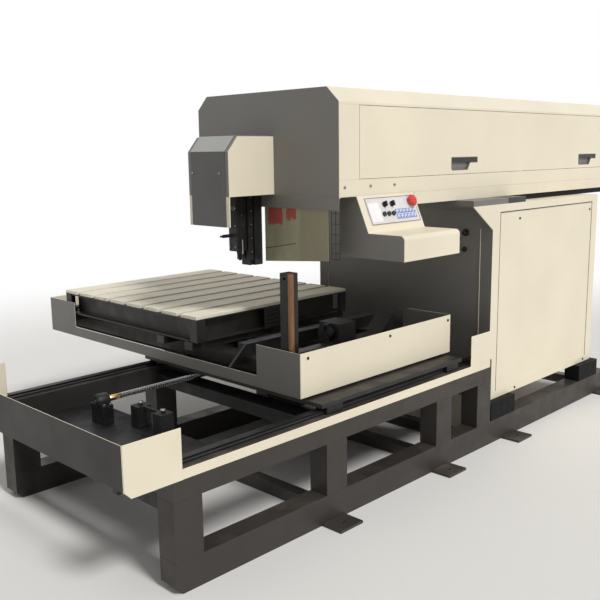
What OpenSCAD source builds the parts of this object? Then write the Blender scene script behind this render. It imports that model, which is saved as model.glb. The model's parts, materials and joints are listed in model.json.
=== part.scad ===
// Laser cutting machine with a two-axis table, a fixed cabinet, a long hood and a hanging cutting head.
// X runs along the bed, Y from the operator's side to the rear, Z up, all sizes in millimetres.

/* [Bed] */
// Length of the bottom rails
bed_l = 3560; // [3460:10:4200]
// Depth of the bed over its long faces
bed_w = 1330; // [1250:10:1500]
// Height of the bed's upper face
bed_h = 478; // [450:1:520]
// Length of the upper beams that carry the guide rails
beam_l = 2110; // [2105:1:2125]
// Height of the upper beams
beam_h = 120; // [90:1:150]
// Depth of the frame tubes along Y
tube_d = 100; // [90:1:130]
// Height of the bottom rails
rail_h = 126; // [90:1:150]
// Cut at the lower left end of each bottom rail
rail_cut = 30; // [5:1:60]
// Width of a frame post
post_w = 130; // [80:1:160]
// Distance between frame posts
post_pitch = 805; // [780:1:880]
// Side of the square bottom cross tubes
cross_tube = 60; // [40:1:100]
// Width of an upper cross member
member_w = 110; // [80:1:140]
// Height of an upper cross member
member_h = 60; // [40:1:80]
// Drop of the cross members below the bed's upper face
member_drop = 38; // [36:1:60]
// Drop of the left members below the bed's upper face
low_drop = 108; // [90:1:114]
// Width of the wide member under the X screw's left bearing
base_w = 210; // [120:1:240]
// Middle of the member that carries the end stop
stop_x = 394; // [385:1:420]
// Length of the end stop along Y
stop_l = 230; // [150:1:260]
// Start of the end stop from the bed's front
stop_y = 564; // [500:1:600]

/* [Anchor feet] */
// Middle of the first foot from the bed's left end
foot_1_x = 842; // [780:1:900]
// Middle of the second foot
foot_2_x = 1645; // [1580:1:1700]
// Middle of the third foot
foot_3_x = 2305; // [2240:1:2360]
// Middle of the last foot
foot_4_x = 3440; // [3300:1:3450]
// Width of a foot plate
foot_w = 144; // [100:1:160]
// Reach of a foot plate out of the frame
foot_out = 110; // [80:1:140]
// Thickness of a foot plate
foot_t = 12; // [8:1:20]
// Diameter of the anchor bolt hole
foot_hole_d = 18; // [12:1:24]

/* [Sheet metal] */
// Thickness of the folded sheets
sheet_t = 3; // [2:0.5:4]
// Gap at the butt joints between pieces of one assembly
seam = 0.2; // [0.1:0.05:0.4]
// Height of the trim strip on the bed's long faces
trim_h = 39; // [20:1:60]
// Start of the raised end of the trim
trim_step_x = 1905; // [1900:1:1980]
// Free length of beam beyond the trim
trim_end_gap = 19; // [5:1:40]
// Height of the raised end above the bed
trim_rise = 159; // [80:1:200]
// Reach of the end guard beyond the bed's left end
guard_out = 206; // [150:1:260]
// Height of the end guard
guard_h = 196; // [120:1:240]
// Length of the guard's corner sheets along the bed
guard_return = 42; // [10:1:50]
// Height of the grey end sheet's lower edge above the corner sheets' lower edge
guard_lift = 28; // [10:1:38]

/* [X axis] */
// Width of a guide rail
guide_w = 34; // [24:1:40]
// Height of a guide rail
guide_h = 22; // [16:1:26]
// Middle of a guide rail from the bed's long face
guide_inset = 55; // [40:1:70]
// Free length of beam at each end of a guide rail
guide_end = 20; // [5:1:40]
// Height of a bearing block
block_h = 30; // [28:1:36]
// Width of a bearing block
block_w = 70; // [60:1:80]
// Length of a bearing block
block_l = 100; // [70:1:120]
// Gap under a bearing block
block_gap = 4; // [2:0.5:6]
// Diameter of the ball screws
screw_d = 28; // [25:1:40]
// Diameter of a screw's bearing journals
journal_d = 20; // [16:1:24]
// Height of a screw above its bearing's seat
screw_rise = 35; // [30:1:36]
// Place of the X screw across the bed
screw_y = 938; // [860:1:1000]
// Width of the screw nuts
nut_w = 70; // [60:1:90]
// Width of a screw bearing's housing
bearing_w = 104; // [80:1:120]
// Length of a screw bearing
bearing_l = 54; // [40:1:70]
// Length of a screw nut
nut_l = 80; // [60:1:110]
// Start of the X screw's left bearing
bearing_x = 275; // [250:1:300]
// Start of the X screw's right bearing
bearing_far_x = 1860; // [1840:1:1880]
// Radial running clearance of a journal or nut
run_gap = 0.05; // [0.02:0.01:0.1]
// Clearance between a block and its rail
slide_gap = 0.3; // [0.2:0.05:0.5]

/* [Carriage and stage] */
// Left side of the stage
stage_x = 767; // [760:1:780]
// Length of the stage along X
stage_l = 1118; // [1060:1:1120]
// Front of the stage
stage_y = 116; // [110:1:130]
// Height of the stage guard sheets
stage_guard_h = 198; // [160:1:230]
// Depth of the stage guard below the stage beams
stage_guard_drop = 23; // [10:1:28]
// Height of the low strip between the end guard's corners
strip_h = 54; // [30:1:70]
// Length of the end guard's tall corners along Y
corner_l = 276; // [200:1:330]
// Thickness of the saddle plate
saddle_t = 20; // [14:1:30]
// Inset of the saddle from the stage's sides
saddle_inset = 33; // [20:1:60]
// Width of the stage beams
stage_beam_w = 80; // [60:1:100]
// Height of the stage beams
stage_beam_h = 65; // [60:1:90]
// Place of a stage beam's middle from the stage's side
stage_beam_inset = 150; // [120:1:200]
// Height of the stage's cross tubes
stage_tube_h = 40; // [30:1:60]
// Width of the stage's cross tubes
stage_tube_w = 60; // [40:1:80]
// Start of the Y screw's front bearing behind the stage's front
y_bearing_in = 34; // [34:1:60]
// Start of the Y screw's rear bearing behind its front bearing
y_bearing_span = 1020; // [980:1:1030]
// Side of the Y motor
motor_side = 80; // [60:1:86]
// Length of the drive motors
motor_l = 180; // [120:1:190]

/* [Fixture for round work] */
// Middle of the fixture behind the stage's front
fixture_in = 244; // [220:1:260]
// Middle of the guide beam behind the stage's front
guide_beam_in = 494; // [440:1:520]
// Side of the square guide beam
guide_beam = 60; // [40:1:70]
// Headstock from the stage's left side
headstock_in = 450; // [400:1:500]
// Tail rest from the stage's right side
rest_in = 330; // [300:1:380]
// Length of the tail rest
rest_l = 180; // [140:1:220]
// Height of the tail rest
rest_h = 90; // [70:1:110]
// Side of the square corner post
post_side = 55; // [45:1:65]
// Height of the corner post
corner_post_h = 404; // [350:1:450]
// Diameter of the rod let into the corner post's edge
post_rod_d = 26; // [20:1:30]

/* [Slat table] */
// Front of the table behind the stage's front
table_in = 714; // [690:1:730]
// Depth of the table along Y
table_w = 1228; // [1100:1:1300]
// Depth of the stage behind the table
table_rear = 168; // [140:1:260]
// Gap between the table and the stage's sides
table_gap = 12; // [8:1:30]
// Height of the table's channel frame
table_frame_h = 116; // [90:1:130]
// Depth of the channels
channel_d = 50; // [30:1:70]
// Thickness of the channel walls
channel_t = 8; // [5:1:12]
// Leg of the upright angles at the table's corners
angle_leg = 55; // [40:1:70]
// Slot between an angle and the channel beside it
angle_gap = 8; // [4:1:12]
// Number of slats
slat_count = 8; // [6:1:12]
// Gap between slats
slat_gap = 32; // [15:1:40]
// Height of a slat
slat_h = 16; // [10:1:30]
// Width of the narrow strip along each slat's rear edge
slat_strip = 25; // [15:1:40]
// Slot between a slat and its narrow strip
slat_slot = 4; // [2:1:8]
// Width of the slotted gauge plate on the table's front
gauge_w = 112; // [80:1:140]
// Left side of the gauge plate from the table's left side
gauge_in = 443; // [400:1:480]

/* [Cabinet] */
// Left side of the cabinet
cab_x = 2150; // [2145:1:2200]
// Length of the cabinet
cab_l = 1235; // [1100:5:1240]
// Front of the cabinet behind the bed's front
cab_in = 40; // [20:1:60]
// Underside of the cabinet above the bottom rails
cab_lift = 101; // [60:1:130]
// Height of the cabinet
cab_h = 1068; // [1000:1:1100]
// Side of the cabinet's corner posts
cab_post = 72; // [50:1:80]
// Height of the cabinet's base and top plates
cab_plate_t = 40; // [20:1:45]
// Length of a foot block
cab_foot_l = 250; // [150:1:300]
// Reach of the ledge and its gusset to the left of the cabinet
gusset_reach = 190; // [150:1:220]
// Depth of the gusset below the ledge
gusset_drop = 130; // [100:1:160]
// Share of the cabinet's length that the ledge covers
ledge_part = 0.27; // [0.2:0.01:0.3]

/* [Hood] */
// Left end of the hood
hood_x = 1056; // [1050:1:1080]
// Length of the hood
hood_l = 3264; // [3200:1:3400]
// Front of the hood
hood_y = 150; // [140:1:160]
// Depth of the hood
hood_w = 956; // [900:1:1000]
// Height of the hood above its tray
hood_h = 473; // [450:1:500]
// Height of the tray under the hood
tray_h = 62; // [50:1:80]
// Gap between cabinet and tray that the bearers show
spacer_h = 31; // [20:1:50]
// Rear or front run of the roof's sloped edge
slope_run = 70; // [40:1:110]
// Height of the roof's sloped edge
slope_rise = 65; // [40:1:100]
// Width of the hood's front stiles
stile_w = 139; // [120:1:170]
// Height of the sill under the door
sill_h = 71; // [60:1:90]
// Height of the lip above the door
lip_h = 12; // [12:1:30]
// Gap round the door
door_gap = 2; // [1.5:0.5:3]
// Depth of the door's folded edges
door_fold = 16; // [14:1:30]
// Diameter of the door's pivot pins
pivot_d = 6; // [5:0.5:7]
// Width of a paddle latch
latch_w = 244; // [180:1:280]
// Height of a paddle latch
latch_h = 68; // [55:1:80]
// Height of the finger pocket under a latch's paddle
pocket_h = 37; // [30:1:42]
// Left latch from the door's left edge
latch_1_in = 719; // [650:1:800]
// Right latch from the door's left edge
latch_2_in = 2125; // [1900:1:2200]
// Diameter of the laser tube
tube_dia = 180; // [120:1:200]
// Length of the laser tube
tube_len = 2600; // [2400:10:2800]

/* [Cutting head] */
// Reach of the head cover out of the hood's end
cover_out = 282; // [260:1:320]
// Front side of the head cover behind the hood's front
cover_in = 407; // [380:1:430]
// Width of the head cover
cover_w = 287; // [260:1:310]
// Height of the head cover above the tray
cover_h = 271; // [240:1:300]
// Height of the cover's sloped edge
cover_slope_h = 69; // [40:1:90]
// Depth of the cover's sloped edge
cover_slope_d = 59; // [30:1:80]
// Drop of the cover's front plate below the tray's top
plate_drop = 137; // [80:1:150]
// Beam axis from the hood's end
beam_out = 111; // [105:1:120]
// Height of the nozzle tip above the slats at rest
nozzle_gap = 273; // [250:1:290]
// Shift of the beam's axis from the cover's middle towards the front
beam_shift = 14; // [0:1:20]
// Diameter of the focus tube
focus_d = 34; // [26:1:40]
// Length of the nozzle
nozzle_l = 47; // [40:1:60]
// Height of the Z slide
slide_h = 340; // [320:1:345]
// Width of the Z slide
slide_w = 83; // [76:1:100]
// Thickness of the Z slide
slide_t = 32; // [24:1:40]
// Width of the fixed column behind the slide
mount_w = 80; // [70:1:100]
// Depth of the fixed column
mount_t = 51; // [40:1:60]
// Gap between slide and column that the dovetail bridges
mount_gap = 10; // [4:1:12]
// Width of the lens box in front of the slide
lens_w = 59; // [50:1:64]
// Depth of the lens box
lens_d = 58; // [52:1:70]
// Height of the lens box
lens_h = 293; // [260:1:296]
// Cream edge of the cover that shows beside its grey strip
cover_edge = 22; // [8:1:28]
// Width of the folded flanges under the grey strip
cover_flange = 30; // [29:1:40]
// Width of the legs that carry the strip's lower end
cover_leg = 8; // [6:1:30]
// Depth of the film-covered plate below the hood's floor
arm_drop = 322; // [300:1:360]
// Rise of the plate's lower edge towards the front
arm_rise = 32; // [0:1:50]
// Width of the film-covered plate
arm_w = 412; // [360:1:420]

/* [Console] */
// Left side of the console from the hood's left end
console_in = 118; // [100:1:180]
// Width of the console
console_w = 420; // [400:1:460]
// Reach of the desk in front of the hood
desk_out = 270; // [230:1:300]
// Height of the desk above the console's underside
desk_h = 112; // [90:1:140]
// Height of the sloped panel
panel_h = 162; // [150:1:190]
// Depth of the sloped panel
panel_run = 71; // [50:1:90]
// Radius of the desk's front edge
desk_r = 22; // [10:1:30]
// Depth of the console's flat seat under the hood
console_seat = 94; // [30:1:120]
// Diameter of the emergency stop's head
stop_d = 56; // [30:1:60]
// Diameter of a selector knob
knob_d = 26; // [20:1:30]
// Diameter of a push button
button_d = 22; // [16:1:26]

/* [Hidden] */
$fn = 48;

cream = [0.91, 0.87, 0.78];
grey = [0.46, 0.46, 0.46];
dark = [0.27, 0.25, 0.23];
black = [0.09, 0.09, 0.09];
steel = [0.6, 0.6, 0.6];
bronze = [0.6, 0.42, 0.26];

// Bed levels and places
beam_z = bed_h - beam_h;
member_z = bed_h - member_drop;
low_z = bed_h - low_drop;
post_x = [post_w / 2, post_w / 2 + post_pitch, post_w / 2 + 2 * post_pitch, beam_l - post_w / 2];
cross_tube_x = [post_x[1], post_x[2], post_x[3], bed_l - post_w / 2];
foot_x = [foot_1_x, foot_2_x, foot_3_x, foot_4_x];
foot_hole_out = foot_out / 2;
origin_x = (foot_1_x + foot_4_x) / 2;
origin_y = bed_w / 2;
guard_z = bed_h - trim_h;
bracket_side = 30;

// X screw, its bearings and motor
screw_z = member_z + screw_rise;
bearing_h = member_drop + block_gap + block_h - 4;
motor_gap = 16;
motor_x = bearing_far_x + bearing_l + motor_gap;
shaft_d = journal_d - 4;
shaft_in = 15;
housing_r = bearing_h - screw_rise;
ring_t = 5;
ring_d = 2 * housing_r - 10;
stop_w = 70;
stop_h = 100;
stop_post = 60;
stop_bar = 14;
stop_bolt_d = 22;
stop_bolt_h = 9;
low_member_x = [member_w / 2, stop_x];
member_x = [
    post_x[1],
    post_x[2],
    bearing_far_x + bearing_l / 2,
    motor_x + motor_l - member_w / 2
];
base_x1 = stop_x - member_w / 2 - seam;

// Carriage, stage and table levels
saddle_z = bed_h + block_gap + block_h;
saddle_top = saddle_z + saddle_t;
stage_z = saddle_top + block_gap + block_h;
stage_tube_z = stage_z + stage_beam_h;
table_z = stage_tube_z + stage_tube_h;
slat_z = table_z + table_frame_h;
table_top = slat_z + slat_h;
stage_x1 = stage_x + stage_l;
stage_y1 = stage_y + table_in + table_w + table_rear;
stage_mid = stage_x + stage_l / 2;
stage_guard_z = stage_z - stage_guard_drop;
beam_mid_x = [stage_x + stage_beam_inset, stage_x1 - stage_beam_inset];
saddle_x = stage_x + saddle_inset;
saddle_x1 = stage_x1 - saddle_inset;
saddle_end = 20;
block_end = 30;
x_block_x = [saddle_x + block_end, saddle_x1 - block_end - block_l];
y_block_front = 50;
y_block_rear = 280;
y_block_y = [stage_y + y_block_front, bed_w - y_block_rear];
y_screw_z = saddle_top + screw_rise;
y_bearing_y = stage_y + y_bearing_in;
y_bearing_far = y_bearing_y + y_bearing_span;
y_nut_y = y_bearing_far - nut_l - 10;
belt_case_l = y_bearing_in - 6;
belt_case_w = 220;
belt_case_h = 88;
motor_offset = 140;
table_x = stage_x + table_gap;
table_x1 = stage_x1 - table_gap;
table_y = stage_y + table_in;
table_y1 = table_y + table_w;
slat_w = (table_w - (slat_count - 1) * slat_gap) / slat_count;
channel_end = angle_leg + angle_gap;
gauge_t = 11;
gauge_h = table_frame_h - 6;
gauge_slots = 4;
gauge_slot_h = 10;
corner_post_x = stage_x + 18;
post_in = 79;
corner_post_y = stage_y + post_in;
post_rod_x = corner_post_x + 8;
post_rod_y = corner_post_y - 4;
fixture_y = stage_y + fixture_in;
fixture_beam_y = stage_y + guide_beam_in;
tube_in = 40;
tube_y = [
    corner_post_y + post_side / 2,
    fixture_y,
    table_y + stage_tube_w,
    y_nut_y + nut_l / 2,
    table_y1 - stage_tube_w,
    stage_y1 - tube_in
];
post_hole_d = 12;
head_size = [120, 130, 100];
rest_w = 100;
head_x = stage_x + headstock_in;
chuck_d = 84;
chuck_l = 34;
chuck_z = table_z + 56;
chuck_shaft_d = 30;
chuck_shaft_in = 40;

// Cabinet and hood levels
cab_z = rail_h + cab_lift;
cab_y = cab_in;
cab_w = bed_w - 2 * cab_in;
cab_x1 = cab_x + cab_l;
cab_y1 = cab_y + cab_w;
cab_top = cab_z + cab_h;
panel_inset = 3;
tray_z = cab_top + spacer_h;
ledge_x1 = cab_x + cab_l * ledge_part;
ledge_in = 60;
bearer_in = 10;
bearer_w = 80;
bearer_out = 340;
hood_z = tray_z + tray_h;
hood_top = hood_z + hood_h;
hood_x1 = hood_x + hood_l;
hood_y1 = hood_y + hood_w;
floor_t = 4;
tray_x1 = hood_x1 - 20;
slope_z = hood_top - slope_rise;
door_top = slope_z - lip_h;
door_x = hood_x + stile_w;
door_x1 = hood_x1 - stile_w;
door_z = hood_z + sill_h;
pivot_y = hood_y + sheet_t + pivot_d / 2 + 0.5;
pivot_z = door_top - pivot_d / 2 - 9;
pivot_in = 20;
lug_l = 14;
latch_z = door_z + 20;
latch_x = [door_x + latch_1_in, door_x + latch_2_in];
latch_depth = 16;
latch_wall = 4;
paddle_gap = 1;
paddle_t = 6;
paddle_pin_d = 5;
paddle_pin_in = 2.5;

// Cutting head places
cover_y = hood_y + cover_in;
cover_y1 = cover_y + cover_w;
cover_x = hood_x - cover_out;
cover_top = hood_z + cover_h;
plate_z = hood_z - plate_drop;
beam_x = hood_x - beam_out;
beam_y = cover_y + cover_w / 2 - beam_shift;
laser_z = hood_z + cover_h / 2;
laser_hole_d = 60;
nozzle_z = table_top + nozzle_gap;
focus_z = nozzle_z + nozzle_l;
slide_z = nozzle_z;
mount_z = slide_z - 26;
mount_top = laser_z - laser_hole_d;
dovetail_w = 50;
dovetail_d = mount_gap + 12;
focus_top = slide_z + slide_h;
slide_x = hood_x - mount_t - mount_gap - slide_t;
lens_x = slide_x - lens_d;
knob_grip_d = 16;
knob_grip_l = 44;
knob_tip_d = 9;
knob_tip_l = 15;
knob_shaft_d = 10;
knob_shaft_in = 10;
knob_grip_x = lens_x - 3;
knob_grip_y = beam_y + lens_w / 2 - knob_shaft_d;
knob_grip_z = focus_top - lens_h * 0.75;
arm_z = hood_z - arm_drop;
arm_in = 67;
arm_y = hood_y + arm_in;
skirt_gap = 2;

// Console places
console_x = hood_x + console_in;
console_x1 = console_x + console_w;
tray_x = console_x1 + 2 * sheet_t;
console_top = hood_z - floor_t;
desk_z = console_top - panel_h;
console_z = desk_z - desk_h;
console_y1 = hood_y;
console_back = console_y1 + console_seat;
panel_foot_y = console_y1 - panel_run;
desk_y = hood_y - desk_out;
panel_len = sqrt(panel_run * panel_run + panel_h * panel_h);
panel_tilt = atan2(panel_h, panel_run);
// Places of the controls on the panel
stop_u = console_w * 0.88;
stop_v = panel_len * 0.75;
selector_u = [console_w * 0.40, console_w * 0.53];
selector_v = panel_len * 0.72;
button_u = [console_w * 0.35, console_w * 0.43, console_w * 0.51];
button_v = panel_len * 0.46;
keypad_t = 3;
keypad_u = [console_w * 0.10, console_w * 0.96];
keypad_v = [panel_len * 0.20, panel_len * 0.92];
keys_u = [console_w * 0.55, console_w * 0.92];
keys_v = [panel_len * 0.28, panel_len * 0.58];
keys_t = 2;
stem_in = 16;
control_gap = 0.3;
button_travel = 3;
button_h = 8;
stop_travel = 6;
stop_stem_d = 20;
knob_h = 20;
knob_stem_d = 10;

module placed() {
    translate([-origin_x, -origin_y, 0]) children();
}

// A block between two opposite corners
module bar(low, high) {
    translate(low) cube(high - low);
}

// A shape drawn in Y and Z, drawn out along X from x0 to x1
module along_x(x0, x1) {
    translate([x0, 0, 0]) rotate([90, 0, 90]) linear_extrude(x1 - x0) children();
}

// A shape drawn in X and Z, drawn out along Y from y0 to y1
module along_y(y0, y1) {
    translate([0, y1, 0]) rotate([90, 0, 0]) linear_extrude(y1 - y0) children();
}

// A round bar along X
module rod_x(x0, x1, d) {
    translate([x0, 0, 0]) rotate([0, 90, 0]) cylinder(h = x1 - x0, d = d);
}

// A round bar along Y
module rod_y(y0, y1, d) {
    translate([0, y1, 0]) rotate([90, 0, 0]) cylinder(h = y1 - y0, d = d);
}

// The bed's front half and its mirrored rear half
module both_sides() {
    children();
    translate([0, bed_w, 0]) mirror([0, 1, 0]) children();
}

// Section of a guide rail, standing on its seat, with a waist for the bearing balls
module guide_section(grow = 0) {
    waist = guide_w * 0.78;
    foot = guide_h * 0.3;
    neck = guide_h * 0.55;
    w = guide_w / 2 + grow;
    polygon([
        [-w, 0], [w, 0], [w, foot], [waist / 2 + grow, neck], [w, guide_h * 0.8], [w, guide_h + grow],
        [-w, guide_h + grow], [-w, guide_h * 0.8], [-waist / 2 - grow, neck], [-w, foot]
    ]);
}

// Section of a bearing block over its rail
module block_section() {
    difference() {
        translate([-block_w / 2, block_gap]) square([block_w, block_h]);
        guide_section(slide_gap);
    }
}

// Bed
module bottom_rails() {
    color(dark) placed() both_sides() along_y(0, tube_d) polygon([
        [rail_cut, 0], [bed_l, 0], [bed_l, rail_h], [0, rail_h], [0, rail_cut]
    ]);
}

module frame_posts() {
    color(dark) placed() both_sides() for (x = post_x)
        bar([x - post_w / 2, 0, rail_h], [x + post_w / 2, tube_d, beam_z]);
}

module bed_beams() {
    color(dark) placed() both_sides() bar([0, 0, beam_z], [beam_l, tube_d, bed_h]);
}

module bottom_cross_tubes() {
    color(dark) placed() for (x = cross_tube_x)
        bar([x - cross_tube / 2, tube_d, 0], [x + cross_tube / 2, bed_w - tube_d, cross_tube]);
}

module cross_members() {
    color(black) placed() {
        for (x = member_x) cross_member(x - member_w / 2, x + member_w / 2, member_z);
        for (x = low_member_x) cross_member(x - member_w / 2, x + member_w / 2, low_z);
        cross_member(base_x1 - base_w, base_x1, low_z);
        both_sides() bar(
            [sheet_t - guard_out, tube_d / 2 - bracket_side / 2, bed_h - bracket_side],
            [0, tube_d / 2 + bracket_side / 2, bed_h]
        );
        stop_block();
    }
}

// One member from beam to beam with its upper face at top
module cross_member(x, x1, top) {
    bar([x, tube_d, top - member_h], [x1, bed_w - tube_d, top]);
}

// End stop of the X travel: two posts with a bar between them and a bolt head on each
module stop_block() {
    stop_top = low_z + stop_h;
    bar(
        [stop_x - stop_bar / 2, stop_y + 1, stop_top - stop_bar],
        [stop_x + stop_bar / 2, stop_y + stop_l - 1, stop_top]
    );
    for (y = [stop_y, stop_y + stop_l - stop_post]) {
        bar([stop_x - stop_w / 2, y, low_z + seam], [stop_x + stop_w / 2, y + stop_post, stop_top]);
        translate([stop_x, y + stop_post / 2, stop_top + seam])
            cylinder(h = stop_bolt_h - seam, d = stop_bolt_d, $fn = 6);
    }
}

module anchor_feet() {
    color(dark) placed() both_sides() for (x = foot_x) difference() {
        bar([x - foot_w / 2, -foot_out, 0], [x + foot_w / 2, 0, foot_t]);
        translate([x, -foot_hole_out, -1]) cylinder(h = foot_t + 2, d = foot_hole_d);
    }
}

module trim_strips() {
    color(cream) placed() both_sides() along_y(-sheet_t, 0) polygon([
        [0, bed_h - trim_h], [beam_l - trim_end_gap, bed_h - trim_h],
        [beam_l - trim_end_gap, bed_h + trim_rise],
        [trim_step_x, bed_h + trim_rise], [trim_step_x, bed_h], [0, bed_h]
    ]);
}

// Grey end sheet, and cream corner sheets whose lower outer corner is cut off
module end_guard() {
    guard_top = guard_z + guard_h;
    color(grey) placed() bar(
        [-guard_out, -2 * sheet_t, guard_z + guard_lift],
        [sheet_t - guard_out, bed_w + 2 * sheet_t, guard_top]
    );
    corner_x = sheet_t + seam - guard_out;
    color(cream) placed() both_sides() along_y(-2 * sheet_t, -sheet_t) polygon([
        [corner_x, guard_z + guard_lift], [corner_x + guard_lift, guard_z], [guard_return, guard_z],
        [guard_return, guard_top], [corner_x, guard_top]
    ]);
}

module x_guide_rails() {
    color(steel) placed() for (y = [guide_inset, bed_w - guide_inset])
        translate([0, y, bed_h]) along_x(guide_end, beam_l - guide_end) guide_section();
}

// A screw bearing with its journal along X, its seat at z = 0: a foot and a round housing
module screw_bearing() {
    foot_h = bearing_h * 0.3;
    along_x(0, bearing_l) difference() {
        union() {
            translate([-bearing_w / 2, 0]) square([bearing_w, foot_h]);
            translate([-housing_r, 0]) square([2 * housing_r, screw_rise]);
            translate([0, screw_rise]) circle(r = housing_r);
        }
        translate([0, screw_rise]) circle(d = journal_d + 2 * run_gap);
    }
}

// The two bearings, the left one on a pedestal and with a raised ring round the screw's end
module x_screw_bearings() {
    color(black) placed() {
        bar(
            [bearing_x, screw_y - bearing_w / 2, low_z],
            [bearing_x + bearing_l, screw_y + bearing_w / 2, member_z + 1]
        );
        for (x = [bearing_x, bearing_far_x]) translate([x, screw_y, member_z]) screw_bearing();
        translate([bearing_x, screw_y, screw_z]) difference() {
            rod_x(-ring_t, 1, ring_d);
            rod_x(-ring_t - 1, 2, journal_d + 2 * run_gap);
        }
    }
}

module x_motor() {
    color(black) placed() difference() {
        bar(
            [motor_x, screw_y - housing_r, member_z],
            [motor_x + motor_l, screw_y + housing_r, screw_z + housing_r]
        );
        translate([0, screw_y, screw_z]) rod_x(motor_x - 1, motor_x + shaft_in + 2, shaft_d + 2 * run_gap);
    }
}

// A ball screw along X from its first bearing, with its end reaching out by out
module ball_screw(span, out) {
    rod_x(-10, bearing_l + 1, journal_d);
    rod_x(bearing_l + 1, span - 1, screw_d);
    rod_x(span - 1, span + bearing_l + 2, journal_d);
    rod_x(span + bearing_l + 2, span + bearing_l + 2 + out, shaft_d);
}

module x_screw() {
    color(steel) placed() translate([bearing_x, screw_y, screw_z])
        ball_screw(bearing_far_x - bearing_x, motor_gap - 2 + shaft_in);
}

// Carriage that runs along the bed
module saddle() {
    color(dark) placed() difference() {
        union() {
            bar([saddle_x, saddle_end, saddle_z], [saddle_x1, bed_w - saddle_end, saddle_top]);
            bar(
                [stage_mid - nut_l / 2, screw_y - nut_w / 2, member_z + block_gap],
                [stage_mid + nut_l / 2, screw_y + nut_w / 2, saddle_z]
            );
        }
        translate([0, screw_y, screw_z])
            rod_x(stage_mid - nut_l, stage_mid + nut_l, screw_d + 2 * run_gap);
    }
}

module bearing_blocks() {
    color(black) placed() {
        for (x = x_block_x, y = [guide_inset, bed_w - guide_inset])
            translate([x, y, bed_h]) along_x(0, block_l) block_section();
        for (x = beam_mid_x, y = y_block_y)
            translate([x, y, stage_z]) mirror([0, 0, 1]) along_y(0, block_l) block_section();
    }
}

module y_screw_bearings() {
    color(dark) placed() for (y = [y_bearing_y, y_bearing_far])
        translate([stage_mid, y, saddle_top]) mirror([1, -1, 0]) screw_bearing();
}

// Y motor beside the screw, with the belt case that joins them
module y_motor() {
    case_x = stage_mid - nut_w / 2;
    case_back = y_bearing_y - 2;
    motor_mid = stage_mid + motor_offset;
    color(black) placed() difference() {
        union() {
            bar(
                [case_x, y_bearing_y - belt_case_l, saddle_top],
                [case_x + belt_case_w, case_back, saddle_top + belt_case_h]
            );
            bar(
                [motor_mid - motor_side / 2, case_back, saddle_top],
                [motor_mid + motor_side / 2, case_back + motor_l, saddle_top + motor_side]
            );
        }
        translate([stage_mid, 0, y_screw_z]) rod_y(y_bearing_y - 13, y_bearing_y, journal_d + 2 * run_gap);
    }
}

module y_screw() {
    color(steel) placed() translate([stage_mid, y_bearing_y, y_screw_z]) mirror([1, -1, 0])
        ball_screw(y_bearing_span, 2);
}

// Stage that runs across the bed
module stage_frame() {
    color(dark) placed() {
        for (x = beam_mid_x)
            bar(
                [x - stage_beam_w / 2, stage_y + sheet_t, stage_z],
                [x + stage_beam_w / 2, stage_y1 - sheet_t, stage_tube_z]
            );
        for (y = tube_y)
            bar(
                [stage_x + sheet_t, y - stage_tube_w / 2, stage_tube_z + seam],
                [stage_x1 - sheet_t, y + stage_tube_w / 2, table_z]
            );
        difference() {
            bar(
                [stage_mid - nut_w / 2, y_nut_y, saddle_top + block_gap],
                [stage_mid + nut_w / 2, y_nut_y + nut_l, stage_tube_z]
            );
            translate([stage_mid, 0, y_screw_z])
                rod_y(y_nut_y - 1, y_nut_y + nut_l + 1, screw_d + 2 * run_gap);
        }
    }
}

// End guard sheet with tall corners and a low strip between them
module stage_end_sheet() {
    top = stage_guard_z + stage_guard_h;
    low = stage_guard_z + strip_h;
    along_x(0, sheet_t) polygon([
        [stage_y, stage_guard_z], [stage_y1, stage_guard_z], [stage_y1, top], [stage_y1 - corner_l, top],
        [stage_y1 - corner_l, low], [stage_y + corner_l, low], [stage_y + corner_l, top], [stage_y, top]
    ]);
}

module stage_guards() {
    color(grey) placed() for (x = [stage_x, stage_x1 - sheet_t]) translate([x, 0, 0]) stage_end_sheet();
    color(cream) placed() for (y = [stage_y, stage_y1 - sheet_t]) bar(
        [stage_x + sheet_t + seam, y, stage_guard_z],
        [stage_x1 - sheet_t - seam, y + sheet_t, stage_guard_z + stage_guard_h]
    );
}

module y_guide_rails() {
    color(steel) placed() for (x = beam_mid_x) translate([x, 0, stage_z]) mirror([0, 0, 1])
        along_y(stage_y + sheet_t + guide_end, stage_y1 - sheet_t - guide_end) guide_section();
}

// Section of a channel with its back at 0 and its open side facing the positive way
module channel_section() {
    difference() {
        square([channel_d, table_frame_h]);
        translate([-1, channel_t]) square([channel_d - channel_t + 1, table_frame_h - 2 * channel_t]);
    }
}

// Upright angle that makes a corner of the table
module corner_angle() {
    linear_extrude(table_frame_h) difference() {
        square(angle_leg);
        translate([channel_t, channel_t]) square(angle_leg);
    }
}

// Plate with level slots that stands on the table's front
module gauge_plate() {
    pitch = gauge_h / (gauge_slots + 1);
    x = table_x + gauge_in;
    y = table_y - gauge_t;
    difference() {
        bar([x, y, 0], [x + gauge_w, table_y - seam, gauge_h]);
        for (i = [1 : gauge_slots])
            bar(
                [x + channel_t, y - 1, i * pitch - gauge_slot_h / 2],
                [x + gauge_w - channel_t, y + gauge_t / 2, i * pitch + gauge_slot_h / 2]
            );
    }
}

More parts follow.
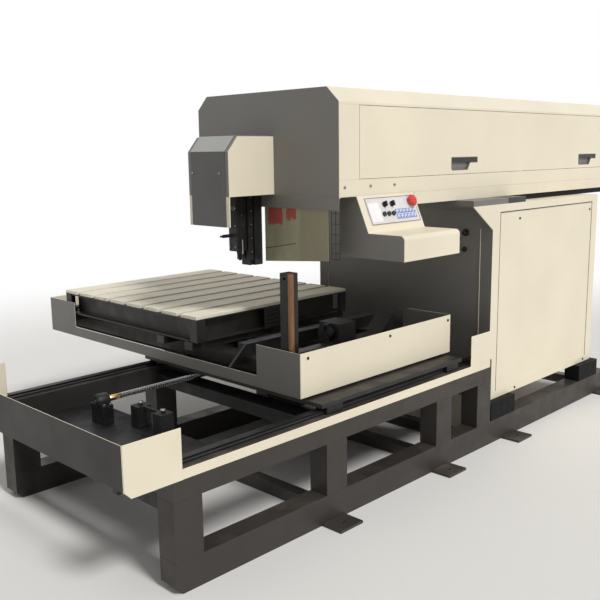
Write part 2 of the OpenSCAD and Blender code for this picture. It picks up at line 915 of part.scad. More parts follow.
// Angles at the corners, channels with their open sides outwards, and bearers between them
module table_frame() {
    color(dark) placed() translate([0, 0, table_z]) {
        for (side = [0, 1], end = [0, 1])
            translate([side == 0 ? table_x : table_x1, end == 0 ? table_y : table_y1, 0])
                mirror([side, 0, 0]) mirror([0, end, 0]) corner_angle();
        for (side = [0, 1])
            translate([side == 0 ? table_x : table_x1, 0, 0]) mirror([side, 0, 0])
                along_y(table_y + channel_end, table_y1 - channel_end) channel_section();
        for (end = [0, 1])
            translate([0, end == 0 ? table_y : table_y1, 0]) mirror([0, end, 0])
                along_x(table_x + channel_end, table_x1 - channel_end) channel_section();
        for (share = [1 / 3, 2 / 3])
            translate([table_x + share * (table_x1 - table_x), 0, 0]) bar(
                [-channel_t, table_y + channel_d + seam, 0],
                [channel_t, table_y1 - channel_d - seam, table_frame_h]
            );
        gauge_plate();
    }
}

// Slats across the table, each split by a narrow slot
module table_slats() {
    board_w = slat_w - slat_strip - slat_slot;
    pitch = slat_w + slat_gap;
    color(cream) placed() for (i = [0 : slat_count - 1]) translate([0, table_y + i * pitch, 0]) {
        bar([table_x, 0, slat_z], [table_x1, board_w, table_top]);
        bar([table_x, slat_w - slat_strip, slat_z], [table_x1, slat_w, table_top]);
    }
}

module corner_post() {
    color(black) placed() difference() {
        bar(
            [corner_post_x, corner_post_y, table_z],
            [corner_post_x + post_side, corner_post_y + post_side, table_z + corner_post_h]
        );
        translate([post_rod_x, post_rod_y, table_z - 1]) cylinder(h = corner_post_h + 2, d = post_rod_d);
        translate([0, corner_post_y + post_side / 2, table_z + corner_post_h - 2 * post_hole_d])
            rod_x(corner_post_x - 1, corner_post_x + post_side + 1, post_hole_d);
    }
}

// Rod let into the edge of the corner post
module post_rod() {
    color(bronze) placed() translate([post_rod_x, post_rod_y, table_z])
        cylinder(h = corner_post_h, d = post_rod_d);
}

// Fixture for round work: guide beam with its end bracket, headstock and tail rest
module round_fixture() {
    head_y = fixture_y - head_size[1] / 2;
    rest_x = stage_x1 - rest_in;
    color(black) placed() {
        bar(
            [beam_mid_x[0] - stage_beam_w / 2, fixture_beam_y - guide_beam / 2, stage_tube_z],
            [stage_x1 - 40, fixture_beam_y + guide_beam / 2, stage_tube_z + guide_beam]
        );
        along_y(fixture_beam_y - guide_beam / 2, fixture_beam_y - guide_beam / 4) polygon([
            [stage_x + sheet_t + 2, stage_tube_z - stage_beam_h / 2],
            [beam_mid_x[0] - stage_beam_w / 2, stage_tube_z - stage_beam_h / 2],
            [beam_mid_x[0] - stage_beam_w / 2, stage_tube_z + guide_beam]
        ]);
        difference() {
            translate([head_x, head_y, table_z]) cube(head_size);
            translate([0, fixture_y, chuck_z])
                rod_x(head_x - 1, head_x + chuck_shaft_in + 2, chuck_shaft_d + 2 * run_gap);
        }
    }
    color(grey) placed() along_y(fixture_y - rest_w / 2, fixture_y + rest_w / 2) polygon([
        [rest_x, table_z], [rest_x + rest_l, table_z], [rest_x + rest_l, table_z + rest_h],
        [rest_x + rest_l / 2, table_z + rest_h]
    ]);
}

// Round driven face of the fixture with three jaws
module chuck() {
    jaw = [10, 12, 24];
    color(steel) placed() translate([head_x, fixture_y, chuck_z]) {
        rod_x(0, chuck_shaft_in, chuck_shaft_d);
        rod_x(-chuck_l, -1, chuck_d);
        rod_x(-1, 0, chuck_shaft_d);
        for (turn = [0, 120, 240]) rotate([turn, 0, 0])
            translate([-chuck_l - jaw[0], -jaw[1] / 2, chuck_d / 8]) cube(jaw);
    }
}

// Corner posts, base and top plates, and the ledge with its gusset at the front left corner
module cabinet_frame() {
    posts_z = cab_z + cab_plate_t + seam;
    posts_top = cab_top - cab_plate_t - seam;
    color(cream) placed() {
        for (x = [cab_x, cab_x1 - cab_post], y = [cab_y, cab_y1 - cab_post])
            bar([x, y, posts_z], [x + cab_post, y + cab_post, posts_top]);
        for (z = [cab_z, cab_top - cab_plate_t]) bar([cab_x, cab_y, z], [cab_x1, cab_y1, z + cab_plate_t]);
        bar([cab_x - gusset_reach, cab_y, cab_top], [ledge_x1, hood_y + ledge_in, tray_z]);
        along_y(cab_y, cab_y + 2 * sheet_t) polygon([
            [cab_x - gusset_reach, cab_top + 1], [cab_x + 1, cab_top + 1], [cab_x + 1, cab_top - gusset_drop]
        ]);
    }
}

module cabinet_panels() {
    color(cream) placed() for (y = [cab_y + panel_inset, cab_y1 - panel_inset - 2 * sheet_t]) bar(
        [cab_x + cab_post, y, cab_z + cab_plate_t],
        [cab_x1 - cab_post, y + 2 * sheet_t, cab_top - cab_plate_t]
    );
}

module cabinet_side_panels() {
    color(grey) placed() for (x = [cab_x + panel_inset, cab_x1 - panel_inset - 2 * sheet_t]) bar(
        [x, cab_y + cab_post, cab_z + cab_plate_t],
        [x + 2 * sheet_t, cab_y1 - cab_post, cab_top - cab_plate_t]
    );
}

// Blocks that carry the cabinet on the bottom rails, and the two bearers that carry the hood
module cabinet_blocks() {
    over = 30;
    color(black) placed() {
        both_sides() for (x = [cab_x - over, cab_x1 + over - cab_foot_l])
            bar([x, 0, rail_h], [x + cab_foot_l, tube_d, cab_z]);
        for (y = [hood_y + bearer_in, hood_y1 - bearer_in - bearer_w])
            bar([ledge_x1, y, cab_top], [cab_x1 + bearer_out, y + bearer_w, hood_z - floor_t]);
    }
}

module power_unit() {
    color(grey) placed() bar(
        [cab_x + 2 * cab_post, cab_y + 2 * cab_post, cab_z + cab_plate_t],
        [cab_x1 - 2 * cab_post, cab_y1 - 2 * cab_post, cab_z + cab_h * 0.6]
    );
}

// Hood
module hood_tray() {
    skirt_top = hood_z - floor_t - seam;
    color(cream) placed() {
        bar([hood_x + sheet_t, hood_y, hood_z - floor_t], [hood_x1 - sheet_t, hood_y1, hood_z]);
        for (y = [hood_y, hood_y1 - sheet_t])
            bar([tray_x, y, tray_z], [tray_x1, y + sheet_t, skirt_top]);
        bar(
            [tray_x1 - sheet_t, hood_y + sheet_t + seam, tray_z],
            [tray_x1, hood_y1 - sheet_t - seam, skirt_top]
        );
    }
}

// Folded roof with sloped long edges and a short lip on each side
module hood_roof() {
    color(cream) placed() along_x(hood_x + sheet_t, hood_x1 - sheet_t) difference() {
        polygon([
            [hood_y, door_top], [hood_y, slope_z], [hood_y + slope_run, hood_top],
            [hood_y1 - slope_run, hood_top], [hood_y1, slope_z], [hood_y1, door_top]
        ]);
        polygon([
            [hood_y + sheet_t, door_top - 1], [hood_y + sheet_t, slope_z - sheet_t / 2],
            [hood_y + slope_run + sheet_t / 2, hood_top - sheet_t],
            [hood_y1 - slope_run - sheet_t / 2, hood_top - sheet_t],
            [hood_y1 - sheet_t, slope_z - sheet_t / 2], [hood_y1 - sheet_t, door_top - 1]
        ]);
    }
}

// Sill and stiles round the door, and the rear sheet
module hood_side_sheets() {
    color(cream) placed() {
        bar([hood_x + sheet_t, hood_y, hood_z], [hood_x1 - sheet_t, hood_y + sheet_t, door_z]);
        bar([hood_x + sheet_t, hood_y, door_z + seam], [door_x, hood_y + sheet_t, door_top]);
        bar([door_x1, hood_y, door_z + seam], [hood_x1 - sheet_t, hood_y + sheet_t, door_top]);
        bar([hood_x + sheet_t, hood_y1 - sheet_t, hood_z], [hood_x1 - sheet_t, hood_y1, door_top]);
    }
}

// Outline of the hood's end with its sloped upper corners
module hood_end_outline(low) {
    polygon([
        [hood_y, low], [hood_y1, low], [hood_y1, slope_z], [hood_y1 - slope_run, hood_top],
        [hood_y + slope_run, hood_top], [hood_y, slope_z]
    ]);
}

// Left end with the hole for the beam and a skirt below it, and plain right end
module hood_end_panels() {
    color(grey) placed() {
        along_x(hood_x, hood_x + sheet_t) difference() {
            hood_end_outline(hood_z);
            translate([beam_y, laser_z]) circle(d = laser_hole_d);
        }
        bar([hood_x, hood_y, tray_z], [hood_x + sheet_t, hood_y1, hood_z - skirt_gap]);
        along_x(hood_x1 - sheet_t, hood_x1) hood_end_outline(hood_z - floor_t);
    }
}

// Pins on lugs behind the stiles, on which the door turns
module door_pivots() {
    color(steel) placed() for (side = [0, 1]) {
        edge = side == 0 ? door_x : door_x1;
        translate([edge, 0, 0]) mirror([side, 0, 0]) {
            bar(
                [-lug_l, hood_y + sheet_t, pivot_z - pivot_d],
                [0, pivot_y + pivot_d, door_top]
            );
            translate([0, pivot_y, pivot_z]) rod_x(-1, pivot_in, pivot_d);
        }
    }
}

// Long lift-up door: a sheet with folded edges, latch cut-outs and pivot holes in its end folds
module hood_door() {
    low = door_z + door_gap;
    top = door_top - door_gap;
    color(cream) placed() difference() {
        bar([door_x + door_gap, hood_y, low], [door_x1 - door_gap, hood_y + door_fold, top]);
        bar(
            [door_x + door_gap + sheet_t, hood_y + sheet_t, low + sheet_t],
            [door_x1 - door_gap - sheet_t, hood_y + door_fold + 1, top - sheet_t]
        );
        for (x = latch_x)
            translate([x, 0, latch_z]) along_y(hood_y - 1, hood_y + sheet_t + 1) latch_outline();
        for (x = [door_x, door_x1 - door_gap - sheet_t - 1])
            translate([0, pivot_y, pivot_z]) rod_x(x, x + door_gap + sheet_t + 1, pivot_d + 2 * run_gap);
    }
}

// Outline of a latch: the full width behind the paddle, and a narrower finger pocket below it
module latch_outline(in = 0) {
    pocket = [latch_w * 0.04, latch_w * 0.62, latch_w * 0.72];
    polygon([
        [pocket[0] + in, in], [pocket[1] - in, in], [pocket[2] - in, pocket_h + in],
        [latch_w - in, pocket_h + in], [latch_w - in, latch_h - in], [in, latch_h - in], [in, pocket[0] + in]
    ]);
}

// Recessed cups of the two paddle latches
module latch_cups() {
    w = latch_wall;
    pin_reach = paddle_pin_in + 0.5;
    color(black) placed() for (x = latch_x) difference() {
        translate([x, 0, latch_z]) along_y(hood_y, hood_y + latch_depth) latch_outline();
        translate([x, 0, latch_z]) along_y(hood_y - 1, hood_y + latch_depth - w) latch_outline(w);
        translate([0, paddle_pin_y(), paddle_pin_z()])
            rod_x(x + w - pin_reach, x + latch_w - w + pin_reach, paddle_pin_d + 2 * run_gap);
    }
}

function paddle_pin_y() = hood_y + paddle_t / 2 + 1;
function paddle_pin_z() = latch_z + latch_h - latch_wall - paddle_gap - paddle_t / 2;

// Paddle that turns on its own pins along its upper edge
module latch_paddle(x) {
    low = latch_z + pocket_h + latch_wall + paddle_gap;
    x0 = x + latch_wall + paddle_gap;
    x1 = x + latch_w - latch_wall - paddle_gap;
    color(black) placed() {
        along_x(x0, x1) union() {
            translate([paddle_pin_y(), paddle_pin_z()]) circle(d = paddle_t);
            translate([paddle_pin_y() - paddle_t / 2, low]) square([paddle_t, paddle_pin_z() - low]);
        }
        translate([0, paddle_pin_y(), paddle_pin_z()])
            rod_x(x0 - paddle_gap - paddle_pin_in, x1 + paddle_gap + paddle_pin_in, paddle_pin_d);
    }
}

module latch_paddle_left() latch_paddle(latch_x[0]);

module latch_paddle_right() latch_paddle(latch_x[1]);

module laser_tube() {
    start = hood_x + sheet_t + 60;
    flange_t = 30;
    color(steel) placed() translate([0, beam_y, laser_z]) {
        rod_x(start + flange_t, start + tube_len - flange_t, tube_dia);
        for (x = [start, start + tube_len - flange_t]) rod_x(x, x + flange_t, tube_dia + 40);
    }
}

// Saddles that hold the laser tube on the hood's floor
module tube_cradles() {
    start = hood_x + sheet_t + 60;
    half = tube_dia * 0.6;
    color(black) placed() for (share = [0.15, 0.5, 0.85])
        along_x(start + share * tube_len - 40, start + share * tube_len + 40) difference() {
            polygon([
                [beam_y - half, hood_z], [beam_y + half, hood_z],
                [beam_y + half * 0.8, laser_z - tube_dia * 0.2],
                [beam_y - half * 0.8, laser_z - tube_dia * 0.2]
            ]);
            translate([beam_y, laser_z]) circle(d = tube_dia);
        }
}

// Cutting head
// Fold line of the cover, set in from its outer face: up the front, over the slope and back to the hood
function cover_fold(in, low) = [
    [cover_x + in, low], [cover_x + in, cover_top - cover_slope_h - in / 2],
    [cover_x + cover_slope_d + in / 2, cover_top - in], [hood_x, cover_top - in]
];

// Section of a sheet that follows the fold line
module cover_sheet(in, low) {
    back = cover_fold(in + sheet_t, low);
    polygon(concat(cover_fold(in, low), [for (i = [len(back) - 1 : -1 : 0]) back[i]]));
}

// Cream side sheets with legs below, and flanges folded inwards along their edges
module head_cover_sides() {
    color(cream) placed() for (side = [0, 1])
        translate([0, side == 0 ? cover_y : cover_y1, 0]) mirror([0, side, 0]) {
            along_y(0, sheet_t) polygon(concat(
                cover_fold(sheet_t, plate_z),
                [[hood_x, hood_z], [cover_x + cover_leg, hood_z], [cover_x + cover_leg, plate_z]]
            ));
            along_y(0, cover_flange) cover_sheet(sheet_t, plate_z);
        }
}

// Folded grey strip that lies on the flanges and makes the cover's front, sloped edge and top
module head_cover_front() {
    color(grey) placed() along_y(cover_y + cover_edge, cover_y1 - cover_edge)
        cover_sheet(0, plate_z);
}

// Fixed column of the head with its dovetail
module z_mount() {
    color(black) placed() {
        bar([hood_x - mount_t, beam_y - mount_w / 2, mount_z], [hood_x, beam_y + mount_w / 2, mount_top]);
        translate([hood_x - mount_t, beam_y, mount_z]) rotate([0, 0, 180])
            linear_extrude(mount_top - mount_z) dovetail();
    }
}

// Dovetail that stands out of the column, wider at its face
module dovetail(grow = 0) {
    polygon([
        [-1, -dovetail_w / 2 - grow], [dovetail_d + grow, -dovetail_w / 2 - grow - dovetail_d / 4],
        [dovetail_d + grow, dovetail_w / 2 + grow + dovetail_d / 4], [-1, dovetail_w / 2 + grow]
    ]);
}

// Slide on the dovetail, with the lens box that carries the focus tube
module z_slide() {
    color(black) placed() difference() {
        union() {
            bar(
                [slide_x, beam_y - slide_w / 2, slide_z],
                [slide_x + slide_t, beam_y + slide_w / 2, focus_top]
            );
            bar(
                [lens_x, beam_y - lens_w / 2, focus_top - lens_h],
                [slide_x + 1, beam_y + lens_w / 2, focus_top]
            );
        }
        translate([hood_x - mount_t, beam_y, slide_z - 1]) rotate([0, 0, 180])
            linear_extrude(slide_h + 2) dovetail(slide_gap);
        translate([beam_x, beam_y, slide_z]) cylinder(h = slide_h + 1, d = focus_d);
        translate([0, knob_grip_y, knob_grip_z])
            rod_x(lens_x - 1, lens_x + knob_shaft_in + 2, knob_shaft_d + 2 * run_gap);
    }
}

// Focus tube in the lens box, with a ring nut on top
module focus_tube() {
    nut_h = 18;
    color(black) placed() translate([beam_x, beam_y, focus_z]) {
        cylinder(h = focus_top + nut_h - focus_z, d = focus_d);
        translate([0, 0, focus_top - focus_z]) cylinder(h = nut_h, d = focus_d * 1.3);
    }
}

// Tapered nozzle with its gas bore
module nozzle() {
    color(black) placed() translate([beam_x, beam_y, nozzle_z]) rotate_extrude() polygon([
        [focus_d * 0.05, 0], [focus_d * 0.16, 0], [focus_d * 0.3, nozzle_l * 0.35],
        [focus_d * 0.44, nozzle_l * 0.75], [focus_d * 0.44, nozzle_l], [focus_d * 0.2, nozzle_l]
    ]);
}

// Hand knob that clamps the lens box: a fluted grip with a thin tip
module clamp_knob() {
    grip_x = knob_grip_x - knob_grip_l;
    flute_d = 4;
    color(black) placed() translate([0, knob_grip_y, knob_grip_z]) {
        rod_x(knob_grip_x - 1, lens_x + knob_shaft_in, knob_shaft_d);
        rod_x(grip_x - knob_tip_l, grip_x + 1, knob_tip_d);
        difference() {
            rod_x(grip_x, knob_grip_x, knob_grip_d);
            for (turn = [0 : 45 : 315]) rotate([turn, 0, 0])
                translate([0, 0, knob_grip_d / 2 + flute_d * 0.2])
                    rod_x(grip_x - 1, knob_grip_x - flute_d, flute_d);
        }
    }
}

// Mirror that turns the beam down into the focus tube
module bending_mirror() {
    size = 90;
    shelf_t = 10;
    color(steel) placed() {
        along_y(beam_y - size / 2, beam_y + size / 2) polygon([
            [beam_x - size * 0.6, laser_z - size / 2], [beam_x - size / 2, laser_z - size / 2],
            [beam_x + size / 2, laser_z + size / 2], [beam_x + size / 2, laser_z + size * 0.6],
            [beam_x - size * 0.6, laser_z + size * 0.6]
        ]);
        bar(
            [beam_x - size * 0.6, beam_y - size / 2, laser_z + size * 0.6],
            [hood_x, beam_y + size / 2, laser_z + size * 0.6 + shelf_t]
        );
    }
}

// Film-covered plate that hangs from the hood's end beside the head
module arm_plate() {
    arm_top = hood_z - floor_t;
    color(bronze) placed() along_x(hood_x + sheet_t, hood_x + sheet_t + floor_t) polygon([
        [arm_y, arm_z + arm_rise], [arm_y + arm_w, arm_z], [arm_y + arm_w, arm_top], [arm_y, arm_top]
    ]);
}

// Console
module console_outline() {
    polygon([
        [console_y1, console_top], [panel_foot_y, desk_z], [desk_y + desk_r, desk_z],
        [desk_y + desk_r, desk_z - desk_r], [desk_y, desk_z - desk_r], [desk_y, console_z],
        [console_back, console_z], [console_back, console_top]
    ]);
    translate([desk_y + desk_r, desk_z - desk_r]) circle(r = desk_r);
}

// Points on the sloped panel: u across from its left side, v up from its foot, lifted out by w
module on_panel(u, v, w = 0) {
    translate([console_x + u, panel_foot_y, desk_z]) rotate([panel_tilt, 0, 0])
        translate([0, v, w]) children();
}

// Stem holes of all the controls, sunk from the panel's face
module control_holes(gap) {
    h = stem_in + 20;
    for (u = selector_u) on_panel(u, selector_v, -stem_in) cylinder(h = h, d = knob_stem_d + 2 * gap);
    for (u = button_u) on_panel(u, button_v, -stem_in) cylinder(h = h, d = button_d + 2 * gap);
    on_panel(stop_u, stop_v, -stem_in) cylinder(h = h, d = stop_stem_d + 2 * gap);
}

module console_shell() {
    color(cream) placed() difference() {
        along_x(console_x, console_x1) console_outline();
        control_holes(control_gap);
    }
}

module console_sides() {
    color(grey) placed() for (x = [console_x - sheet_t, console_x1])
        along_x(x, x + sheet_t) console_outline();
}

// Plate on the sloped panel, with a raised block of keys
module keypad_plate() {
    color(steel) placed() difference() {
        union() {
            on_panel(keypad_u[0], keypad_v[0])
                cube([keypad_u[1] - keypad_u[0], keypad_v[1] - keypad_v[0], keypad_t]);
            on_panel(keys_u[0], keys_v[0])
                cube([keys_u[1] - keys_u[0], keys_v[1] - keys_v[0], keypad_t + keys_t]);
        }
        control_holes(control_gap);
    }
}

// Selector knob with a grip bar across its cap
module selector(u) {
    color(black) placed() on_panel(u, selector_v) {
        translate([0, 0, 2 - stem_in]) cylinder(h = stem_in + keypad_t - 1, d = knob_stem_d);
        translate([0, 0, keypad_t + 0.5]) cylinder(h = knob_h * 0.4, d = knob_d);
        translate([-knob_d * 0.14, -knob_d * 0.46, keypad_t + 0.5])
            cube([knob_d * 0.28, knob_d * 0.92, knob_h]);
    }
}

module selector_left() selector(selector_u[0]);

module selector_right() selector(selector_u[1]);

module button(u) {
    color(black) placed() on_panel(u, button_v, button_travel + 1 - stem_in)
        cylinder(h = stem_in - button_travel - 1 + keypad_t + button_h, d = button_d);
}

module button_left() button(button_u[0]);

module button_middle() button(button_u[1]);

module button_right() button(button_u[2]);

// Mushroom head with finger hollows round its rim, on its stem
module emergency_stop() {
    head_w = keypad_t + stop_travel + 2;
    cap_h = 18;
    hollow_d = stop_d * 0.3;
    color("red") placed() {
        on_panel(stop_u, stop_v, stop_travel + 1 - stem_in)
            cylinder(h = stem_in - stop_travel + head_w, d = stop_stem_d);
        on_panel(stop_u, stop_v, head_w) difference() {
            rotate_extrude() polygon([
                [0, 0], [stop_d * 0.42, 0], [stop_d / 2, cap_h * 0.25], [stop_d / 2, cap_h * 0.55],
                [stop_d * 0.42, cap_h * 0.85], [stop_d * 0.25, cap_h], [0, cap_h]
            ]);
            for (turn = [0 : 60 : 300]) rotate([0, 0, turn])
                translate([stop_d / 2 + hollow_d * 0.3, 0, -1]) cylinder(h = cap_h + 2, d = hollow_d);
        }
    }
}

bottom_rails();
frame_posts();
bed_beams();
bottom_cross_tubes();
cross_members();
anchor_feet();
trim_strips();
end_guard();
x_guide_rails();
x_screw_bearings();
x_motor();
cabinet_frame();
cabinet_panels();
cabinet_side_panels();
cabinet_blocks();
power_unit();
hood_tray();
hood_roof();
hood_side_sheets();
hood_end_panels();
door_pivots();
laser_tube();
tube_cradles();
head_cover_sides();
head_cover_front();
z_mount();
bending_mirror();
arm_plate();
console_shell();
console_sides();
keypad_plate();
z_slide();
focus_tube();
nozzle();
clamp_knob();
hood_door();
latch_cups();
latch_paddle_left();
latch_paddle_right();
saddle();
bearing_blocks();
y_screw_bearings();
y_motor();
x_screw();
y_screw();
stage_frame();
stage_guards();
y_guide_rails();
table_frame();
table_slats();
corner_post();
post_rod();
round_fixture();
chuck();
selector_left();
selector_right();
button_left();
button_middle();
button_right();
emergency_stop();
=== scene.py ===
"""Looks of a laser cutting machine: its paints, small fittings and a plain studio, round the CAD frame."""

import json
import math

import bmesh
import bpy
from bpy.props import FloatProperty, FloatVectorProperty, IntProperty, PointerProperty
from mathutils import Matrix, Vector


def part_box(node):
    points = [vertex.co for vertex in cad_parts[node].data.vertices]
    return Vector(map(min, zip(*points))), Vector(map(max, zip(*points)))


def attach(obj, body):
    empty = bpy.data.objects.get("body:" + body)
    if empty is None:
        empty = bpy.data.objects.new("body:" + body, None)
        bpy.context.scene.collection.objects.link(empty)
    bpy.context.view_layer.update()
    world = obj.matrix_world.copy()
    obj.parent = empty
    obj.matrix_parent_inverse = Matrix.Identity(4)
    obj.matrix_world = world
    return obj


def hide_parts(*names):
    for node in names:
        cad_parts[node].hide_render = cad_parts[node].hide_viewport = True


bl_info = {
    "name": "Laser cutting machine looks",
    "version": (1, 0, 0),
    "blender": (4, 5, 0),
    "location": "View3D > Sidebar > Cutting machine",
    "description": "Paints, fittings and a studio for a laser cutting machine with a two-axis table",
    "category": "Object",
}

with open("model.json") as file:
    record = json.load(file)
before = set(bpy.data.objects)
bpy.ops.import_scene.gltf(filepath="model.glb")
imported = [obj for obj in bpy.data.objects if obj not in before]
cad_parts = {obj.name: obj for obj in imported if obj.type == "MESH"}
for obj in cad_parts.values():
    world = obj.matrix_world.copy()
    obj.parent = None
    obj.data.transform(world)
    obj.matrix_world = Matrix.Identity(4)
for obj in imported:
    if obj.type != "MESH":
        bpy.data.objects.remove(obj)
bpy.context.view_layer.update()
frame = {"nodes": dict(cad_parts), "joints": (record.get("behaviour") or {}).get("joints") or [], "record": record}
MM = 0.001
MERGE = 0.01 * MM
SMOOTH_LIMIT = math.radians(35)
EDGE_LIMIT = math.radians(40)
LEFT = (-1, 0, 0)
FRONT = (0, -1, 0)


def mm(*sizes):
    """Scene lengths of sizes in millimetres."""
    return tuple(size * MM for size in sizes)


def chip(red, green, blue):
    """Scene colour of a paint chip that is given in screen values from 0 to 255."""
    return tuple(((value / 255 + 0.055) / 1.055) ** 2.4 for value in (red, green, blue))


def colour_setting(label, about, *screen):
    return FloatVectorProperty(
        name=label, description=about, subtype="COLOR", size=3, min=0, max=1, default=chip(*screen)
    )


def length_setting(label, about, value):
    return FloatProperty(
        name=label, description=about, subtype="DISTANCE", unit="LENGTH", min=0, default=value
    )


def angle_setting(label, about, degrees):
    return FloatProperty(
        name=label, description=about, subtype="ANGLE", unit="ROTATION", default=math.radians(degrees)
    )


def count_setting(label, about, value):
    return IntProperty(name=label, description=about, min=1, default=value)


class PaintSettings(bpy.types.PropertyGroup):
    """Colours of the machine's finishes."""

    cream: colour_setting("Cream", "Paint of hood, cabinet and long guards", 233, 223, 200)
    grey: colour_setting("Grey", "Paint of the end sheets", 120, 117, 112)
    guard_grey: colour_setting("Guard grey", "Ends of the stage's guards and the ledge", 115, 112, 107)
    # Painted shade: the end guard's grey is darkened to the shade it stands in
    shaded_end_grey: colour_setting("End grey", "Paint of the guard on the bed's end", 52, 49, 46)
    # Painted light: one grey paint, with a shaded copy for the upright front and a lit copy for the slope
    shaded_front_grey: colour_setting("Front grey", "Paint of the head cover's upright front", 83, 82, 79)
    lit_slope_grey: colour_setting("Slope grey", "Paint of the head cover's slope", 168, 168, 164)
    frame: colour_setting("Frame", "Dark paint of the welded frame", 52, 47, 43)
    dust: colour_setting("Dust", "Dust that lies on upward faces of the frame", 108, 98, 87)
    steel: colour_setting("Steel", "Ground guide rails and screws", 176, 176, 178)
    black: colour_setting("Black", "Blackened steel parts", 34, 33, 33)
    plastic: colour_setting("Plastic", "Moulded black plastic", 26, 26, 27)
    latch: colour_setting("Latch", "Cups of the door's latches", 112, 111, 106)
    board: colour_setting("Board", "Pale slats of the table", 240, 233, 212)
    # Painted reflection: the corner post's warm colour stands in for a warm ground mirrored on a dark post
    bronze: colour_setting("Bronze", "Rod on the corner post", 140, 100, 68)
    # Painted reflection: the collars' warm tint stands in for a warm reflection on bright steel
    collar: colour_setting("Collar", "Bright collars of the ball screws", 214, 184, 132)
    film: colour_setting("Film", "Film on the plate beside the head", 150, 146, 118)
    film_red: colour_setting("Torn film", "Places where the film is torn", 158, 62, 54)
    plate: colour_setting("Control plate", "Plate behind the controls", 224, 220, 220)
    keys: colour_setting("Keys", "Membrane keys", 84, 124, 200)
    print: colour_setting("Print", "Plain marks on the keys and the blank label", 246, 243, 243)
    red: colour_setting("Red", "Emergency stop", 206, 52, 46)


class FittingSettings(bpy.types.PropertyGroup):
    """Sizes of the small fittings."""

    screw_d: length_setting("Panel screw", "Diameter of a panel screw's head", 14 * MM)
    tube_edge: length_setting("Tube edge", "Radius on the edges of the frame's tubes", 1.5 * MM)
    sheet_edge: length_setting("Sheet edge", "Radius on the edges of folded sheets", 1.2 * MM)
    block_edge: length_setting("Block edge", "Radius on the edges of machined blocks", 2 * MM)
    rail_bolt_pitch: length_setting("Rail bolt pitch", "Distance between a guide rail's bolts", 80 * MM)
    rail_bolt_d: length_setting("Rail bolt", "Diameter of a guide rail's bolt heads", 14 * MM)
    head_screw_d: length_setting("Head screw", "Diameter of the cutting head's cap screws", 9 * MM)
    plug_d: length_setting("Lens plug", "Diameter of the plug in the lens box", 24 * MM)
    stop_bolt_d: length_setting("Stop bolt", "Diameter of the end stop's bolt heads", 26 * MM)
    bearing_bolt_d: length_setting("Bearing bolt", "Diameter of the screw bearings' bolt heads", 13 * MM)
    nipple_d: length_setting("Grease nipple", "Width of a grease nipple's hexagon", 8 * MM)
    # Painted shade: width of the black strips that fill the cabinet's shadow gaps
    shadow_gap_w: length_setting("Panel seal", "Width of the rubber in the cabinet's joints", 5 * MM)
    lead: length_setting("Screw lead", "Travel of a ball screw's nut in one turn", 40 * MM)
    starts: count_setting("Screw starts", "Grooves that run round a ball screw", 3)
    key_rows: count_setting("Key rows", "Rows of membrane keys", 2)
    key_columns: count_setting("Key columns", "Keys in a row", 6)


class StudioSettings(bpy.types.PropertyGroup):
    """Camera, light and floor."""

    place: FloatVectorProperty(
        name="Camera place", description="Where the camera stands", subtype="XYZ", unit="LENGTH", size=3,
        default=(-3.7319, -2.8778, 1.5844),
    )
    yaw: angle_setting("Yaw", "Way the camera faces, from the X axis towards the Y axis", 44.589)
    pitch: angle_setting("Pitch", "Tilt of the camera above the horizon", -10.417)
    roll: angle_setting("Roll", "Turn of the camera about its own axis", -0.777)
    lens: FloatProperty(name="Lens", description="Focal length", subtype="DISTANCE_CAMERA", default=48.41)
    floor: colour_setting("Floor", "Pale studio floor", 236, 234, 230)
    floor_reach: length_setting("Floor half", "Half the side of the floor", 40)
    clear_reach: length_setting("Clear reach", "Distance at which the floor has become the backdrop", 6.5)
    sky: FloatProperty(name="Sky", description="Strength of the even light all round", default=0.37)
    key: FloatProperty(name="Key lamp", description="Strength of the broad lamp at the front", default=2.12)
    key_spread: angle_setting("Key spread", "Width of the front lamp as the machine sees it", 14)
    key_height: angle_setting("Key height", "Height of the front lamp above the horizon", 46)
    key_side: angle_setting("Key side", "Turn of the front lamp to the left of straight ahead", 5)


class NodeSheet:
    """A node tree with short ways to add to it."""

    def __init__(self, tree):
        self.tree = tree

    def add(self, kind, inputs=None, **settings):
        """Adds a node with its settings and what goes into its sockets."""
        made = self.tree.nodes.new(kind)
        for key, value in settings.items():
            setattr(made, key, value)
        for socket, value in (inputs or {}).items():
            self.give(made.inputs[socket], value)
        return made

    def give(self, socket, value):
        """Links a socket to another, or sets a plain value on it."""
        if isinstance(value, bpy.types.NodeSocket):
            self.tree.links.new(value, socket)
        elif isinstance(value, (int, float)):
            socket.default_value = value
        else:
            socket.default_value = (*value, 1)[: len(socket.default_value)]

    def calc(self, operation, a, b=0):
        return self.add("ShaderNodeMath", {0: a, 1: b}, operation=operation).outputs["Value"]

    def times(self, a, b):
        return self.calc("MULTIPLY", a, b)

    def seen_directly(self):
        """1 for rays from the camera and for those that metal or glass sends on."""
        path = self.add("ShaderNodeLightPath").outputs
        mirrored = self.calc("MAXIMUM", path["Is Glossy Ray"], path["Is Transmission Ray"])
        return self.calc("MAXIMUM", path["Is Camera Ray"], mirrored)


MATERIALS = {}


